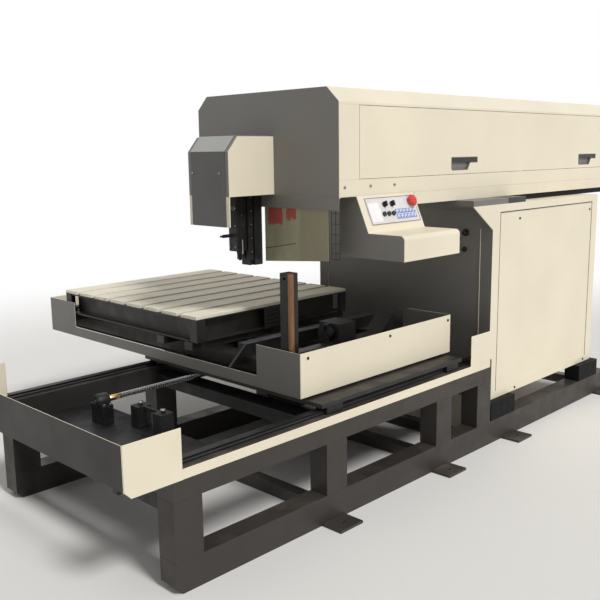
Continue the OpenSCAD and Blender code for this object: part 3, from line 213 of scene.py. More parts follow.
class Finish(NodeSheet):
    """A material, kept under its name, whose pattern nodes are joined on to its Principled shader."""

    def __init__(self, name):
        MATERIALS[name] = bpy.data.materials.new(name)
        MATERIALS[name].use_nodes = True
        super().__init__(MATERIALS[name].node_tree)
        self.shader = self.tree.nodes["Principled BSDF"]
        self.coordinates = self.add("ShaderNodeTexCoord")

    def set(self, socket, value):
        self.give(self.shader.inputs[socket], value)

    def placed(self, stretch=(1, 1, 1), turn=(0, 0, 0)):
        """Place on the piece, stretched and turned."""
        place = self.coordinates.outputs["Object"]
        made = self.add("ShaderNodeMapping", {"Vector": place, "Scale": stretch, "Rotation": turn})
        return made.outputs["Vector"]

    def noise(self, scale, detail=3, roughness=0.5, stretch=(1, 1, 1)):
        inputs = {"Vector": self.placed(stretch), "Scale": scale, "Detail": detail, "Roughness": roughness}
        return self.add("ShaderNodeTexNoise", inputs).outputs["Fac"]

    def level(self, value, low, high, to_low=0, to_high=1):
        """Maps a value from one range to another and holds it at the ends."""
        inputs = {"Value": value, "From Min": low, "From Max": high, "To Min": to_low, "To Max": to_high}
        return self.add("ShaderNodeMapRange", inputs, interpolation_type="SMOOTHSTEP").outputs["Result"]

    def spread(self, noise, low, high):
        """A noise's middle values spread over a range."""
        return self.level(noise, 0.3, 0.7, low, high)

    def rough(self, noise, low, high):
        """Roughness between two values, as a noise has it."""
        self.set("Roughness", self.spread(noise, low, high))

    def window(self, value, low, high, soft):
        """1 between two values and 0 outside, with soft ends."""
        rise = self.level(value, low - soft, low + soft)
        fall = self.level(value, high - soft, high + soft, 1, 0)
        return self.times(rise, fall)

    def mix(self, share, first, second):
        inputs = {"Factor": share, 6: first, 7: second}
        return self.add("ShaderNodeMix", inputs, data_type="RGBA").outputs[2]

    def axis(self, output, letter):
        """One axis of the place or of the normal in the piece's own frame."""
        return self.add("ShaderNodeSeparateXYZ", {0: self.coordinates.outputs[output]}).outputs[letter]

    def bump(self, height, strength, distance=0.5 * MM):
        inputs = {"Height": height, "Strength": strength, "Distance": distance}
        self.set("Normal", self.add("ShaderNodeBump", inputs).outputs["Normal"])


def scaled(colour, share):
    return tuple(min(1, value * share) for value in colour)


def mottled(finish, colour, spread=0.05, scale=2.2):
    """A paint colour with slow changes of tone and fine specks."""
    slow = finish.spread(finish.noise(scale, 4), 0, 1)
    fine = finish.level(finish.noise(scale * 40, 2), 0.35, 0.65)
    tone = finish.mix(slow, scaled(colour, 1 - spread), scaled(colour, 1 + spread * 0.6))
    return finish.mix(finish.times(fine, 0.35), tone, scaled(colour, 1 - spread * 0.5))


def sprayed(finish, shine=0.5):
    """The coat of sprayed paint on sheet metal, with a slight orange peel."""
    finish.rough(finish.noise(6, 5), 0.36, 0.5)
    finish.set("Specular IOR Level", shine)
    finish.bump(finish.noise(260, 2), 0.06)


def sheet_paint(name, colour):
    """Sheet metal in one colour."""
    finish = Finish(name)
    finish.set("Base Color", mottled(finish, colour))
    sprayed(finish)


def lit_and_shaded_front(name, upright, sloped):
    """Head cover's front in one grey paint, its slope paler as painted light and its upright face darker as
    painted shade.
    """
    finish = Finish(name)
    # Painted light: faces that tilt upwards take the lit grey, and the upright face takes the shaded grey
    slope = finish.level(finish.axis("Normal", "Z"), 0.2, 0.4)
    finish.set("Base Color", finish.mix(slope, mottled(finish, upright), mottled(finish, sloped)))
    sprayed(finish)


PAINT_EDGE = 1 * MM


def past(finish, letter, start):
    """1 beyond a place on an axis, after a sharp paint edge."""
    return finish.level(finish.axis("Object", letter), start, start + PAINT_EDGE)


def guard_paint(name, cream, grey, black, ledge, shine=0.5):
    """Guard sheets: cream, grey on the faces that look along X, and a grey and black ledge on top."""
    finish = Finish(name)
    end_faces = finish.level(finish.calc("ABSOLUTE", finish.axis("Normal", "X")), 0.6, 0.7)
    above = past(finish, "Z", ledge.z)
    beyond = finish.times(above, past(finish, "X", ledge.x))
    greyed = finish.calc("MAXIMUM", end_faces, above)
    sheet = finish.mix(greyed, mottled(finish, cream), mottled(finish, grey))
    finish.set("Base Color", finish.mix(beyond, sheet, black))
    sprayed(finish, shine)


def cover_paint(name, cream, grey, level):
    """Head cover's sides: cream, with grey flanges down to a level."""
    finish = Finish(name)
    flange = finish.level(finish.calc("ABSOLUTE", finish.axis("Normal", "Y")), 0.4, 0.6, 1, 0)
    greyed = finish.times(flange, past(finish, "Z", level))
    finish.set("Base Color", finish.mix(greyed, mottled(finish, cream), mottled(finish, grey)))
    sprayed(finish)


# Where the frame is darkened: grease at heights above the bed's beams, and painted shade in a band on their inner
# side
GREASE_RISE = mm(26, 40)
SHADE_BAND = mm(110, 90)
SHADE_BAND_EDGE = 2 * MM
GREASE_AND_SHADE = chip(24, 22, 20)


def frame_paint(name, colour, dust, corner):
    """Dark enamel on rolled tube, dusty on top, scuffed, grease-blackened on the stage, and near black as painted
    shade on the inner side of the bed's rear beam.
    """
    finish = Finish(name)
    upward = finish.level(finish.axis("Normal", "Z"), 0.5, 0.95)
    patches = finish.level(finish.noise(5, 7, 0.6), 0.42, 0.72)
    scuffs = finish.level(finish.noise(38, 6, 0.7, (1, 1, 2.5)), 0.66, 0.74)
    stage = finish.level(finish.axis("Object", "Z"), *(corner.z + rise for rise in GREASE_RISE))
    # Painted shade: faces of the rear beam that look into the bed are turned near black, as though in shadow
    near, far = (corner.y - inset for inset in SHADE_BAND)
    band = finish.window(finish.axis("Object", "Y"), near, far, SHADE_BAND_EDGE)
    painted_shade_inside = finish.times(band, finish.level(finish.axis("Normal", "Y"), -0.6, -0.4, 1, 0))
    # Grease on the stage and painted shade on the rear beam's inner side, mixed in as one near-black
    grease_and_shade = finish.calc("MAXIMUM", stage, painted_shade_inside)
    dusty = finish.times(upward, patches)
    lying = finish.times(dusty, finish.level(grease_and_shade, 0, 1, 0.5, 0.1))
    painted = finish.mix(finish.times(scuffs, 0.25), mottled(finish, colour, 0.1, 3), dust)
    painted = finish.mix(finish.times(grease_and_shade, 0.75), painted, GREASE_AND_SHADE)
    finish.set("Base Color", finish.mix(lying, painted, dust))
    finish.rough(finish.noise(9, 5), 0.38, 0.62)
    finish.bump(finish.noise(70, 5, 0.6), 0.12)


def ground_steel(name, colour, stretch, rough):
    """Ground steel whose marks run one way."""
    finish = Finish(name)
    marks = finish.noise(180, 4, 0.6, stretch)
    oil = finish.level(finish.noise(7, 5, 0.6), 0.4, 0.75)
    bright = finish.mix(finish.spread(marks, 0, 1), scaled(colour, 0.82), scaled(colour, 1.08))
    finish.set("Base Color", finish.mix(finish.times(oil, 0.4), bright, scaled(colour, 0.45)))
    finish.set("Metallic", 1.0)
    finish.rough(marks, *rough)
    finish.bump(marks, 0.05)


def blackened(name, colour):
    """Blackened steel, worn a little brown and greasy."""
    finish = Finish(name)
    worn = finish.times(finish.level(finish.noise(22, 6, 0.65), 0.55, 0.8), 0.5)
    finish.set("Base Color", finish.mix(worn, mottled(finish, colour, 0.2, 6), chip(74, 64, 55)))
    finish.set("Metallic", 0.35)
    finish.rough(finish.noise(15, 5), 0.32, 0.58)
    finish.bump(finish.noise(120, 4), 0.1)


def moulded(name, colour, rough=(0.38, 0.52), grain=700, shine=0.5):
    """Moulded plastic with a fine grain."""
    finish = Finish(name)
    finish.set("Base Color", mottled(finish, colour, 0.06, 12))
    finish.rough(finish.noise(30, 3), *rough)
    finish.set("Specular IOR Level", shine)
    finish.bump(finish.noise(grain, 2), 0.08, 0.2 * MM)


def scored_board(name, colour):
    """Pale board of the table's slats, with grain along X and scorched cuts across it."""
    finish = Finish(name)
    grain = finish.noise(60, 5, 0.6, (0.06, 1, 1))
    inputs = {"Vector": finish.placed(turn=(0, 0, 0.06)), "Scale": 3.1, "Distortion": 0.6, "Detail": 3}
    kind = {"wave_type": "BANDS", "bands_direction": "X", "wave_profile": "SAW"}
    cuts = finish.add("ShaderNodeTexWave", inputs, **kind)
    scorch = finish.times(finish.level(cuts.outputs["Fac"], 0.975, 0.995), 0.35)
    clean = finish.mix(finish.level(grain, 0.35, 0.65), scaled(colour, 0.93), scaled(colour, 1.03))
    finish.set("Base Color", finish.mix(scorch, clean, chip(110, 88, 62)))
    finish.rough(grain, 0.5, 0.68)
    finish.bump(grain, 0.12)


def bronze_as_painted_reflection(name, colour):
    """Corner post as bronze whose warm colour is a painted reflection of a warm ground on a dark post, darkened by
    handling.
    """
    finish = Finish(name)
    streaks = finish.noise(90, 5, 0.6, (1, 1, 0.05))
    handled = finish.times(finish.level(finish.noise(9, 5, 0.6), 0.45, 0.75), 0.55)
    bright = finish.mix(finish.spread(streaks, 0, 1), scaled(colour, 0.78), scaled(colour, 1.12))
    finish.set("Base Color", finish.mix(handled, bright, chip(72, 52, 40)))
    finish.set("Metallic", 0.75)
    finish.rough(streaks, 0.32, 0.5)
    finish.bump(streaks, 0.06)


# Torn patches of the film: front and rear end from the plate's rear edge, and lower edge above its foot
TORN_PATCHES = (mm(-121, -22, 182), mm(-210, -149, 207))
TORN_FRAY = 60 * MM
TORN_EDGE = 2 * MM
# The film's browned front, and the cut line: its end, its height at the rear edge, its slope
BROWN_END = mm(-245, -225)
CUT_END = mm(-215, -205)
CUT_HEIGHT = mm(60, 64.5)
CUT_SLOPE = 0.178
CUT_EDGE = 1 * MM


def torn_film(name, colour, torn, low, high):
    """Khaki film on the plate beside the head: torn to red at its upper rear corner, with a cut line."""
    finish = Finish(name)
    ragged = finish.calc("SUBTRACT", finish.noise(45, 6, 0.65), 0.5)
    ragged = finish.times(ragged, TORN_FRAY)
    along = finish.calc("SUBTRACT", finish.axis("Object", "Y"), high.y)
    up = finish.calc("SUBTRACT", finish.axis("Object", "Z"), low.z)
    ragged_along = finish.calc("ADD", along, ragged)
    ragged_up = finish.calc("ADD", up, ragged)
    patches = 0
    for front, rear, bottom in TORN_PATCHES:
        across = finish.window(ragged_along, front, rear, TORN_EDGE)
        raised = finish.level(ragged_up, bottom - TORN_EDGE, bottom + TORN_EDGE)
        patches = finish.calc("MAXIMUM", patches, finish.times(across, raised))
    creases = finish.noise(14, 6, 0.55, (1, 1, 0.4))
    film = finish.mix(finish.level(creases, 0.35, 0.7), scaled(colour, 0.86), scaled(colour, 1.08))
    film = finish.mix(finish.level(along, *BROWN_END, 0.45, 0), film, chip(128, 116, 88))
    smear = finish.level(finish.noise(9, 6, 0.7, (1, 0.5, 2)), 0.6, 0.75)
    film = finish.mix(finish.times(smear, 0.3), film, chip(76, 70, 54))
    film = finish.mix(finish.times(patches, 0.9), film, torn)
    height = finish.calc("ADD", up, finish.times(along, CUT_SLOPE))
    cut = finish.window(height, *CUT_HEIGHT, CUT_EDGE)
    cut = finish.times(cut, finish.level(along, *CUT_END))
    finish.set("Base Color", finish.mix(finish.times(cut, 0.85), film, chip(38, 34, 28)))
    finish.rough(creases, 0.3, 0.55)
    finish.bump(creases, 0.25, 1.5 * MM)


# The ledge on the cabinet: its grey begins above the panels, and turns black past their left edge
LEDGE_RISE = 41 * MM
LEDGE_GREY = 75 * MM


def make_finishes(paint):
    """One material for each of the record's slots, and a few for pieces that exist only here."""
    film_low, film_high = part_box("arm_plate")
    panel_low, panel_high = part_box("cabinet_panels")
    ledge = Vector((panel_low.x + LEDGE_GREY, 0, panel_high.z + LEDGE_RISE))
    hood_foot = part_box("hood_side_sheets")[0].z
    beam_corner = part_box("bed_beams")[1]
    sheet_paint("cream_paint", paint.cream)
    sheet_paint("grey_paint", paint.grey)
    guard_paint("guard_paint", paint.cream, paint.guard_grey, paint.black, ledge)
    # Guard on the bed's end: its grey is painted shade, darker than the other guards' grey, with a lower shine
    guard_paint("end_paint", paint.cream, paint.shaded_end_grey, paint.black, ledge, 0.3)
    lit_and_shaded_front("lit_and_shaded_front", paint.shaded_front_grey, paint.lit_slope_grey)
    cover_paint("cover_paint", paint.cream, paint.grey, hood_foot)
    frame_paint("frame_paint", paint.frame, paint.dust, beam_corner)
    ground_steel("rail_steel", scaled(paint.steel, 0.1), (0.03, 1, 1), (0.36, 0.56))
    ground_steel("bright_metal", scaled(paint.steel, 0.7), (1, 1, 0.05), (0.24, 0.36))
    ground_steel("thread_steel", paint.steel, (1, 1, 1), (0.2, 0.3))
    # Collar steel tinted warm as a painted reflection
    ground_steel("collar_painted_reflection", paint.collar, (0.05, 1, 1), (0.16, 0.26))
    blackened("black_parts", paint.black)
    moulded("black_plastic", paint.plastic)
    moulded("matt_black", paint.plastic, (0.6, 0.75), 300, 0.12)
    moulded("latch_grey", paint.latch)
    scored_board("slat_board", paint.board)
    # Corner post: its bronze colour is a painted reflection
    bronze_as_painted_reflection("post_bronze", paint.bronze)
    torn_film("film_plate", paint.film, paint.film_red, film_low, film_high)
    moulded("keypad", paint.plate, (0.3, 0.42), 400)
    moulded("stop_red", paint.red, (0.26, 0.36), 500)
    moulded("membrane", paint.keys, (0.32, 0.44), 400)
    moulded("key_print", paint.print, (0.32, 0.44), 400)


def template(build, *sizes):
    """A mesh that is built once and copied to many places."""
    bm = bmesh.new()
    build(bm, *sizes)
    mesh = bpy.data.meshes.new("template")
    bm.to_mesh(mesh)
    bm.free()
    return mesh


def strew(mesh, places, bm=None):
    """One bmesh with the template at every place, after what it already holds."""
    bm = bm or bmesh.new()
    for place in places:
        start = len(bm.verts)
        bm.from_mesh(mesh)
        bm.verts.ensure_lookup_table()
        bmesh.ops.transform(bm, matrix=place, verts=bm.verts[start:])
    return bm


def facing(place, normal):
    """A turn and shift that stands a piece on a face."""
    return Matrix.Translation(place) @ Vector(normal).to_track_quat("Z", "Y").to_matrix().to_4x4()


def standing(places, normal):
    return [facing(place, normal) for place in places]


def turned(bm, points, radius, height, steps):
    """Spins a profile round Z. Its points are shares of a radius and a height."""
    verts = [bm.verts.new((out * radius, 0, up * height)) for out, up in points]
    edges = [bm.edges.new(pair) for pair in zip(verts, verts[1:])]
    bmesh.ops.spin(
        bm, geom=verts + edges, cent=(0, 0, 0), axis=(0, 0, 1), angle=2 * math.pi, steps=steps,
        use_merge=True,
    )
    bmesh.ops.remove_doubles(bm, verts=bm.verts, dist=MERGE)
    bmesh.ops.recalc_face_normals(bm, faces=bm.faces)


def pan_head(bm, size):
    """Pan-head screw with a sunk drive."""
    points = ((0, 0.45), (0.36, 0.45), (0.42, 1), (0.74, 0.96), (1, 0.5), (1, 0))
    turned(bm, points, size / 2, size * 0.34, 14)


def socket_head(bm, size):
    """Cap screw with a deep socket."""
    points = ((0, 0.5), (0.5, 0.5), (0.5, 1), (0.86, 1), (1, 0.86), (1, 0))
    turned(bm, points, size / 2, size * 0.62, 12)


def rail_cap(bm, size):
    """Low cap in a rail's bolt hole."""
    turned(bm, ((0, 0.7), (0.6, 0.7), (0.9, 0.9), (1, 0.5), (1, 0)), size / 2, 1 * MM, 12)


def guide_pin(bm, radius, length):
    """Straight pin with a chamfer on both ends."""
    points = ((0, 0), (0.8, 0), (1, 0.0116), (1, 0.9855), (0.8, 1), (0, 1))
    turned(bm, points, radius, length, 16)


def gland(bm, size):
    """Cable gland with its nut and a plug."""
    points = ((0, 0.5), (0.18, 0.5), (0.22, 0.62), (0.32, 0.56), (0.36, 0.2), (0.5, 0.16), (0.5, 0))
    turned(bm, points, size, size, 18)


def nipple(bm, size):
    """Grease nipple on a hexagon."""
    points = ((0, 1.5), (0.2, 1.5), (0.3, 1.3), (0.18, 1.1), (0.22, 0.6), (0.5, 0.5), (0.5, 0))
    turned(bm, points, size, size, 6)


def rounded_box(bm, low, high, radius, segments=1):
    """A block between two corners with rounded edges."""
    made = bmesh.ops.create_cube(bm, size=1)["verts"]
    low, high = Vector(low), Vector(high)
    bmesh.ops.scale(bm, vec=high - low, verts=made)
    bmesh.ops.translate(bm, vec=(low + high) / 2, verts=made)
    edges = {edge for vert in made for edge in vert.link_edges}
    bmesh.ops.bevel(
        bm, geom=list(edges), offset=radius, offset_type="OFFSET", affect="EDGES", segments=segments,
        profile=0.5, material=-1,
    )


def new_piece(name, bm, slot, body, material=None):
    """Makes a mesh object of a bmesh, gives it its finish and lets it ride on its body."""
    mesh = bpy.data.meshes.new(name)
    bm.to_mesh(mesh)
    bm.free()
    mesh.shade_smooth()
    mesh.set_sharp_from_angle(angle=SMOOTH_LIMIT)
    mesh.materials.append(MATERIALS[material or slot])
    piece = bpy.data.objects.new(name, mesh)
    bpy.context.scene.collection.objects.link(piece)
    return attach(piece, body)


def fasten(name, mesh, places, body, slot="bright_metal"):
    """Makes one piece of a fastener that sits at many places."""
    new_piece(name, strew(mesh, places), slot, body)


def solids_of(node):
    """Boxes of the separate solids of a CAD node."""
    bm = bmesh.new()
    bm.from_mesh(frame["nodes"][node].data)
    bmesh.ops.remove_doubles(bm, verts=bm.verts, dist=MERGE)
    boxes, left = [], set(bm.verts)
    while left:
        island, edge = set(), [left.pop()]
        while edge:
            vert = edge.pop()
            island.add(vert)
            near = {link.other_vert(vert) for link in vert.link_edges} & left
            left -= near
            edge.extend(near)
        columns = list(zip(*(vert.co for vert in island)))
        boxes.append((Vector(map(min, columns)), Vector(map(max, columns))))
    bm.free()
    return boxes


TUBE_NODES = ("bottom_rails", "frame_posts", "bed_beams", "bottom_cross_tubes", "stage_frame")
SHEET_NODES = (
    "trim_strips", "end_guard", "cabinet_panels", "cabinet_side_panels", "hood_tray", "hood_roof",
    "hood_side_sheets", "hood_end_panels", "head_cover_sides", "head_cover_front", "console_sides",
    "stage_guards", "arm_plate",
)
BLOCK_NODES = (
    "cross_members", "anchor_feet", "x_screw_bearings", "x_motor", "cabinet_frame", "cabinet_blocks",
    "power_unit", "saddle", "bearing_blocks", "y_screw_bearings", "y_motor", "table_frame", "table_slats",
    "corner_post", "round_fixture", "z_mount", "bending_mirror",
)
OWN_FINISH = {
    "head_cover_sides": "cover_paint",
    "head_cover_front": "lit_and_shaded_front",
    "cabinet_blocks": "matt_black",
}


class MACHINE_OT_finish_solids(bpy.types.Operator):
    """Give every CAD solid its finish and break its sharp edges"""

    bl_idname = "machine.finish_solids"
    bl_label = "Finish the solids"

    def execute(self, context):
        fittings = context.scene.machine_fittings
        make_finishes(context.scene.machine_paint)
        slot_of = {part["node"]: part["material_slot"] for part in frame["record"]["subparts"]}
        for name, solid in frame["nodes"].items():
            if not solid.material_slots:
                solid.data.materials.append(None)
            for place in solid.material_slots:
                place.material = MATERIALS[OWN_FINISH.get(name, slot_of[name])]
        for names, radius in (
            (TUBE_NODES, fittings.tube_edge),
            (SHEET_NODES, fittings.sheet_edge),
            (BLOCK_NODES, fittings.block_edge),
        ):
            for name in names:
                self.break_edges(frame["nodes"][name], radius)
        return {"FINISHED"}

    def break_edges(self, solid, radius):
        weld = solid.modifiers.new("joined", "WELD")
        weld.merge_threshold = MERGE
        bevel = solid.modifiers.new("edges", "BEVEL")
        bevel.width = radius
        bevel.segments = 2
        bevel.limit_method = "ANGLE"
        bevel.angle_limit = EDGE_LIMIT


# Places of the screws that show, from the edges of their sheets
HOOD_SCREWS = mm(35, 213, 389)
HOOD_SCREW_RISE = 39 * MM
CABINET_SCREW_INSETS = mm(209, 28)
CABINET_SCREW_DROP = 47 * MM
CABINET_SCREW_RISE = 18 * MM
COVER_SCREW_INSETS = mm(39, 12)
COVER_SCREW_DROP = 167 * MM
GUARD_SCREW_INSETS = mm(48, 25)
GUARD_SCREW_SHIFT = 54 * MM
GUARD_SCREW_DROP = 26 * MM
# Sheets on the rear and right, the axis they face, the screws' inset and their number in a row
FAR_SHEETS = (
    ("hood_side_sheets", 1, 40 * MM, 8),
    ("cabinet_panels", 1, 28 * MM, 3),
    ("hood_end_panels", 0, 95 * MM, 3),
    ("cabinet_side_panels", 0, 28 * MM, 3),
)


class MACHINE_OT_panel_screws(bpy.types.Operator):
    """Screws that hold the hood, the cabinet's panels, the head cover and the stage's guards"""

    bl_idname = "machine.panel_screws"
    bl_label = "Panel screws"

    def execute(self, context):
        screw = template(pan_head, context.scene.machine_fittings.screw_d)
        low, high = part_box("hood_side_sheets")
        places = [Vector((low.x + off, low.y, low.z + HOOD_SCREW_RISE)) for off in HOOD_SCREWS]
        fasten("hood_screws", screw, standing(places, FRONT), "machine")
        low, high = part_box("cabinet_panels")
        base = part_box("cabinet_frame")[0]
        left, right = CABINET_SCREW_INSETS
        columns = (low.x + left, high.x - right)
        places = [Vector((x, low.y, high.z - CABINET_SCREW_DROP)) for x in columns]
        places += [Vector((x, base.y, base.z + CABINET_SCREW_RISE)) for x in columns]
        fasten("cabinet_screws", screw, standing(places, FRONT), "machine", "black_parts")
        low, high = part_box("head_cover_front")
        near, far = COVER_SCREW_INSETS
        columns = (low.y + near, high.y - far)
        places = [Vector((low.x, y, high.z - COVER_SCREW_DROP)) for y in columns]
        fasten("head_cover_screws", screw, standing(places, LEFT), "machine")
        low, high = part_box("stage_guards")
        left, right = GUARD_SCREW_INSETS
        columns = (low.x + left, (low.x + high.x) / 2 + GUARD_SCREW_SHIFT, high.x - right)
        places = [Vector((x, low.y, high.z - GUARD_SCREW_DROP)) for x in columns]
        fasten("stage_guard_screws", screw, standing(places, FRONT), "y_stage", "black_parts")
        for node, axis, inset, columns in FAR_SHEETS:
            self.far_side(screw, node, axis, inset, columns)
        return {"FINISHED"}

    def far_side(self, screw, node, axis, inset, columns):
        """Screws along the upper and lower edges of a rear or right sheet."""
        low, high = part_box(node)
        normal = Vector((0, 0, 0))
        normal[axis] = 1
        start, end = low[1 - axis] + inset, high[1 - axis] - inset
        places = []
        for i in range(columns):
            for z in (low.z + inset, high.z - inset):
                place = high.copy()
                place.z = z
                place[1 - axis] = start + (end - start) * i / (columns - 1)
                places.append(place)
        fasten(node + "_far_screws", screw, standing(places, normal), "machine")


RAIL_CAP_SINK = 0.5 * MM


class MACHINE_OT_rail_bolts(bpy.types.Operator):
    """Bolts along the guide rails of the bed and of the stage"""

    bl_idname = "machine.rail_bolts"
    bl_label = "Rail bolts"

    def execute(self, context):
        fittings = context.scene.machine_fittings
        cap = template(rail_cap, fittings.rail_bolt_d)
        self.row("x_guide_rails", 0, 1, cap, fittings.rail_bolt_pitch, "machine")
        self.row("y_guide_rails", 1, -1, cap, fittings.rail_bolt_pitch, "y_stage")
        return {"FINISHED"}

    def row(self, node, axis, upward, cap, pitch, body):
        places = []
        for low, high in solids_of(node):
            for i in range(int((high[axis] - low[axis]) / pitch)):
                place = (low + high) / 2
                place.z = high.z - RAIL_CAP_SINK if upward > 0 else low.z + RAIL_CAP_SINK
                place[axis] = low[axis] + (i + 0.5) * pitch
                places.append(facing(place, (0, 0, upward)))
        fasten(node + "_caps", cap, places, body, "black_parts")


# Ball screws: length of a bearing, the collar's ends, room before the far bearing, and shares of the radius
BEARING_L = 54 * MM
COLLAR_START = 65 * MM
COLLAR_END = 135 * MM
THREAD_ROOM = 1.5 * MM
THREAD_ROOT = 0.84
THREAD_DARK = 0.9
SHAFT_SHARE = 0.7
THREAD_STEPS = 20
# Finishes of the thread's crests, its grooves and the collar, in the order of their places on the mesh
SCREW_FINISHES = ("thread_steel", "black_parts", "collar_painted_reflection")


class MACHINE_OT_ball_screws(bpy.types.Operator):
    """Threaded ball screws of both axes, in place of the plain rods"""

    bl_idname = "machine.ball_screws"
    bl_label = "Ball screws"

    def execute(self, context):
        for axis, node in enumerate(("x_screw", "y_screw")):
            far_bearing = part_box(node + "_bearings")[1][axis] - BEARING_L
            self.make(node, axis, far_bearing, context.scene.machine_fittings)
        return {"FINISHED"}

    def make(self, node, axis, far_bearing, fittings):
        low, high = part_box(node)
        crest = (high.z - low.z) / 2
        length = high[axis] - low[axis]
        bm = bmesh.new()
        thread(bm, crest, COLLAR_END, far_bearing - low[axis] - THREAD_ROOM, fittings.lead, fittings.starts)
        bm.from_mesh(template(collar, crest))
        shaft = bmesh.ops.create_cone(
            bm, cap_ends=True, segments=24, radius1=crest * SHAFT_SHARE, radius2=crest * SHAFT_SHARE,
            depth=length,
        )["verts"]
        bmesh.ops.translate(bm, vec=(0, 0, length / 2), verts=shaft)
        turn = Matrix.Rotation(math.radians(90), 4, "Y" if axis == 0 else "X")
        if axis == 1:
            turn.invert()
        start = (low + high) / 2
        start[axis] = low[axis]
        bmesh.ops.transform(bm, matrix=Matrix.Translation(start) @ turn, verts=bm.verts)
        piece = new_piece(node + "_thread", bm, "rail_steel", node, SCREW_FINISHES[0])
        for material in SCREW_FINISHES[1:]:
            piece.data.materials.append(MATERIALS[material])
        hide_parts(node)


def thread(bm, crest, start, end, lead, starts):
    """Rounded grooves that run round Z from one height to another."""
    root = crest * THREAD_ROOT
    pitch = lead / starts
    profile = []
    for i in range(starts):
        for share, radius in ((0, crest), (0.34, crest), (0.48, root), (0.84, root)):
            profile.append((radius, (i + share) * pitch))
    profile.append((crest, lead))
    verts = [bm.verts.new((radius, 0, start - lead + height)) for radius, height in profile]
    edges = [bm.edges.new(pair) for pair in zip(verts, verts[1:])]
    turns = math.ceil((end - start) / lead) + 1
    bmesh.ops.spin(
        bm, geom=verts + edges, cent=(0, 0, 0), axis=(0, 0, 1), dvec=(0, 0, lead / THREAD_STEPS),
        angle=2 * math.pi * turns, steps=THREAD_STEPS * turns,
    )
    bmesh.ops.remove_doubles(bm, verts=bm.verts, dist=2 * MERGE)
    for height, normal in ((start, (0, 0, -1)), (end, (0, 0, 1))):
        cut = bmesh.ops.bisect_plane(
            bm, geom=bm.verts[:] + bm.edges[:] + bm.faces[:], plane_co=(0, 0, height), plane_no=normal,
            clear_outer=True,
        )
        rim = [edge for edge in cut["geom_cut"] if isinstance(edge, bmesh.types.BMEdge)]
        bmesh.ops.holes_fill(bm, edges=rim, sides=0)
    bmesh.ops.recalc_face_normals(bm, faces=bm.faces)
    for face in bm.faces:
        middle = face.calc_center_median()
        face.material_index = int(math.hypot(middle.x, middle.y) < crest * THREAD_DARK)


def collar(bm, crest):
    """Smooth collar between a ball screw's bearing and its thread."""
    points = [
        (SHAFT_SHARE, COLLAR_START), (0.9, COLLAR_START), (1, COLLAR_START + 2 * MM),
        (1, COLLAR_END - 3 * MM), (0.9, COLLAR_END), (SHAFT_SHARE, COLLAR_END),
    ]
    turned(bm, points, crest, 1, 32)
    for face in bm.faces:
        face.material_index = SCREW_FINISHES.index("collar_painted_reflection")


def control_axes():
    """Frame of the sloped control panel: across, up the slope and out of it."""
    press = next(joint for joint in frame["joints"] if joint["name"] == "emergency_press")
    out = Vector(press["axis"]).normalized()
    across = Vector((1, 0, 0))
    return across, out.cross(across), out


def reach(node, axis):
    """Lowest and highest place of a node along an axis."""
    along = [axis.dot(vert.co) for vert in frame["nodes"][node].data.vertices]
    return min(along), max(along)


# Fields on the control plate and marks on a key: from and to, across and up, as shares
KEY_FIELD = ((0.525, 0.95), (0.115, 0.525))
LABEL_FIELD = ((0.03, 0.24), (0.1, 0.8))
KEY_MARKS = (((0.28, 0.48), (0.2, 0.8)), ((0.58, 0.78), (0.44, 0.8)))
KEY_GAP = 2 * MM
KEY_RISE = 1.2 * MM
KEY_ROOT = 1 * MM
KEY_BLOCK_RISE = 2 * MM
RIM_W = 2 * MM


class MACHINE_OT_control_panel(bpy.types.Operator):
    """Membrane keys, the blank label field and the rim of the control plate"""

    bl_idname = "machine.control_panel"
    bl_label = "Control panel"

    def execute(self, context):
        fittings = context.scene.machine_fittings
        across, up, out = control_axes()
        panel = Matrix((across, up, out)).transposed().to_4x4()
        plate = (reach("keypad_plate", across), reach("keypad_plate", up))
        top = reach("keypad_plate", out)[1]
        self.keys(fittings, self.part_of(plate, KEY_FIELD), top, panel)
        label = bmesh.new()
        low, high = zip(*self.part_of(plate, LABEL_FIELD))
        face = top - KEY_BLOCK_RISE
        rounded_box(label, (*low, face - 1 * MM), (*high, face + 0.8 * MM), 0.6 * MM, 2)
        self.place("blank_label", label, panel, "key_print")
        rim = bmesh.new()
        (left, right), (bottom, head) = plate
        self.mark(rim, (left, bottom), (right, bottom + RIM_W), top)
        self.mark(rim, (left, head - RIM_W), (right, head), top)
        self.mark(rim, (left, bottom), (left + RIM_W, head), top)
        self.mark(rim, (right - RIM_W, bottom), (right, head), top)
        self.place("plate_rim", rim, panel, "latch_grey")
        return {"FINISHED"}

    def keys(self, fittings, field, top, panel):
        keys, marks = bmesh.new(), bmesh.new()
        counts = (fittings.key_columns, fittings.key_rows)
        wide, tall = ((end - start) / count for (start, end), count in zip(field, counts))
        for row in range(fittings.key_rows):
            for column in range(fittings.key_columns):
                u, v = field[0][0] + column * wide, field[1][0] + row * tall
                low = (u + KEY_GAP, v + KEY_GAP, top - KEY_ROOT)
                high = (u + wide - KEY_GAP, v + tall - KEY_GAP, top + KEY_RISE)
                rounded_box(keys, low, high, 1 * MM, 2)
                for shares in KEY_MARKS:
                    low, high = zip(*self.part_of(((u, u + wide), (v, v + tall)), shares))
                    self.mark(marks, low, high, top + 1 * MM)
        self.place("membrane_keys", keys, panel, "membrane")
        self.place("key_marks", marks, panel, "key_print")

    def part_of(self, field, shares):
        """The part of a field that shares of its width and height give."""
        return [
            tuple(start + share * (end - start) for share in pair)
            for (start, end), pair in zip(field, shares)
        ]

    def mark(self, bm, low, high, level):
        rounded_box(bm, (*low, level - 0.4 * MM), (*high, level + 0.5 * MM), 0.3 * MM)

    def place(self, name, bm, panel, material):
        bmesh.ops.transform(bm, matrix=panel, verts=bm.verts)
        new_piece(name, bm, "keypad", "machine", material)


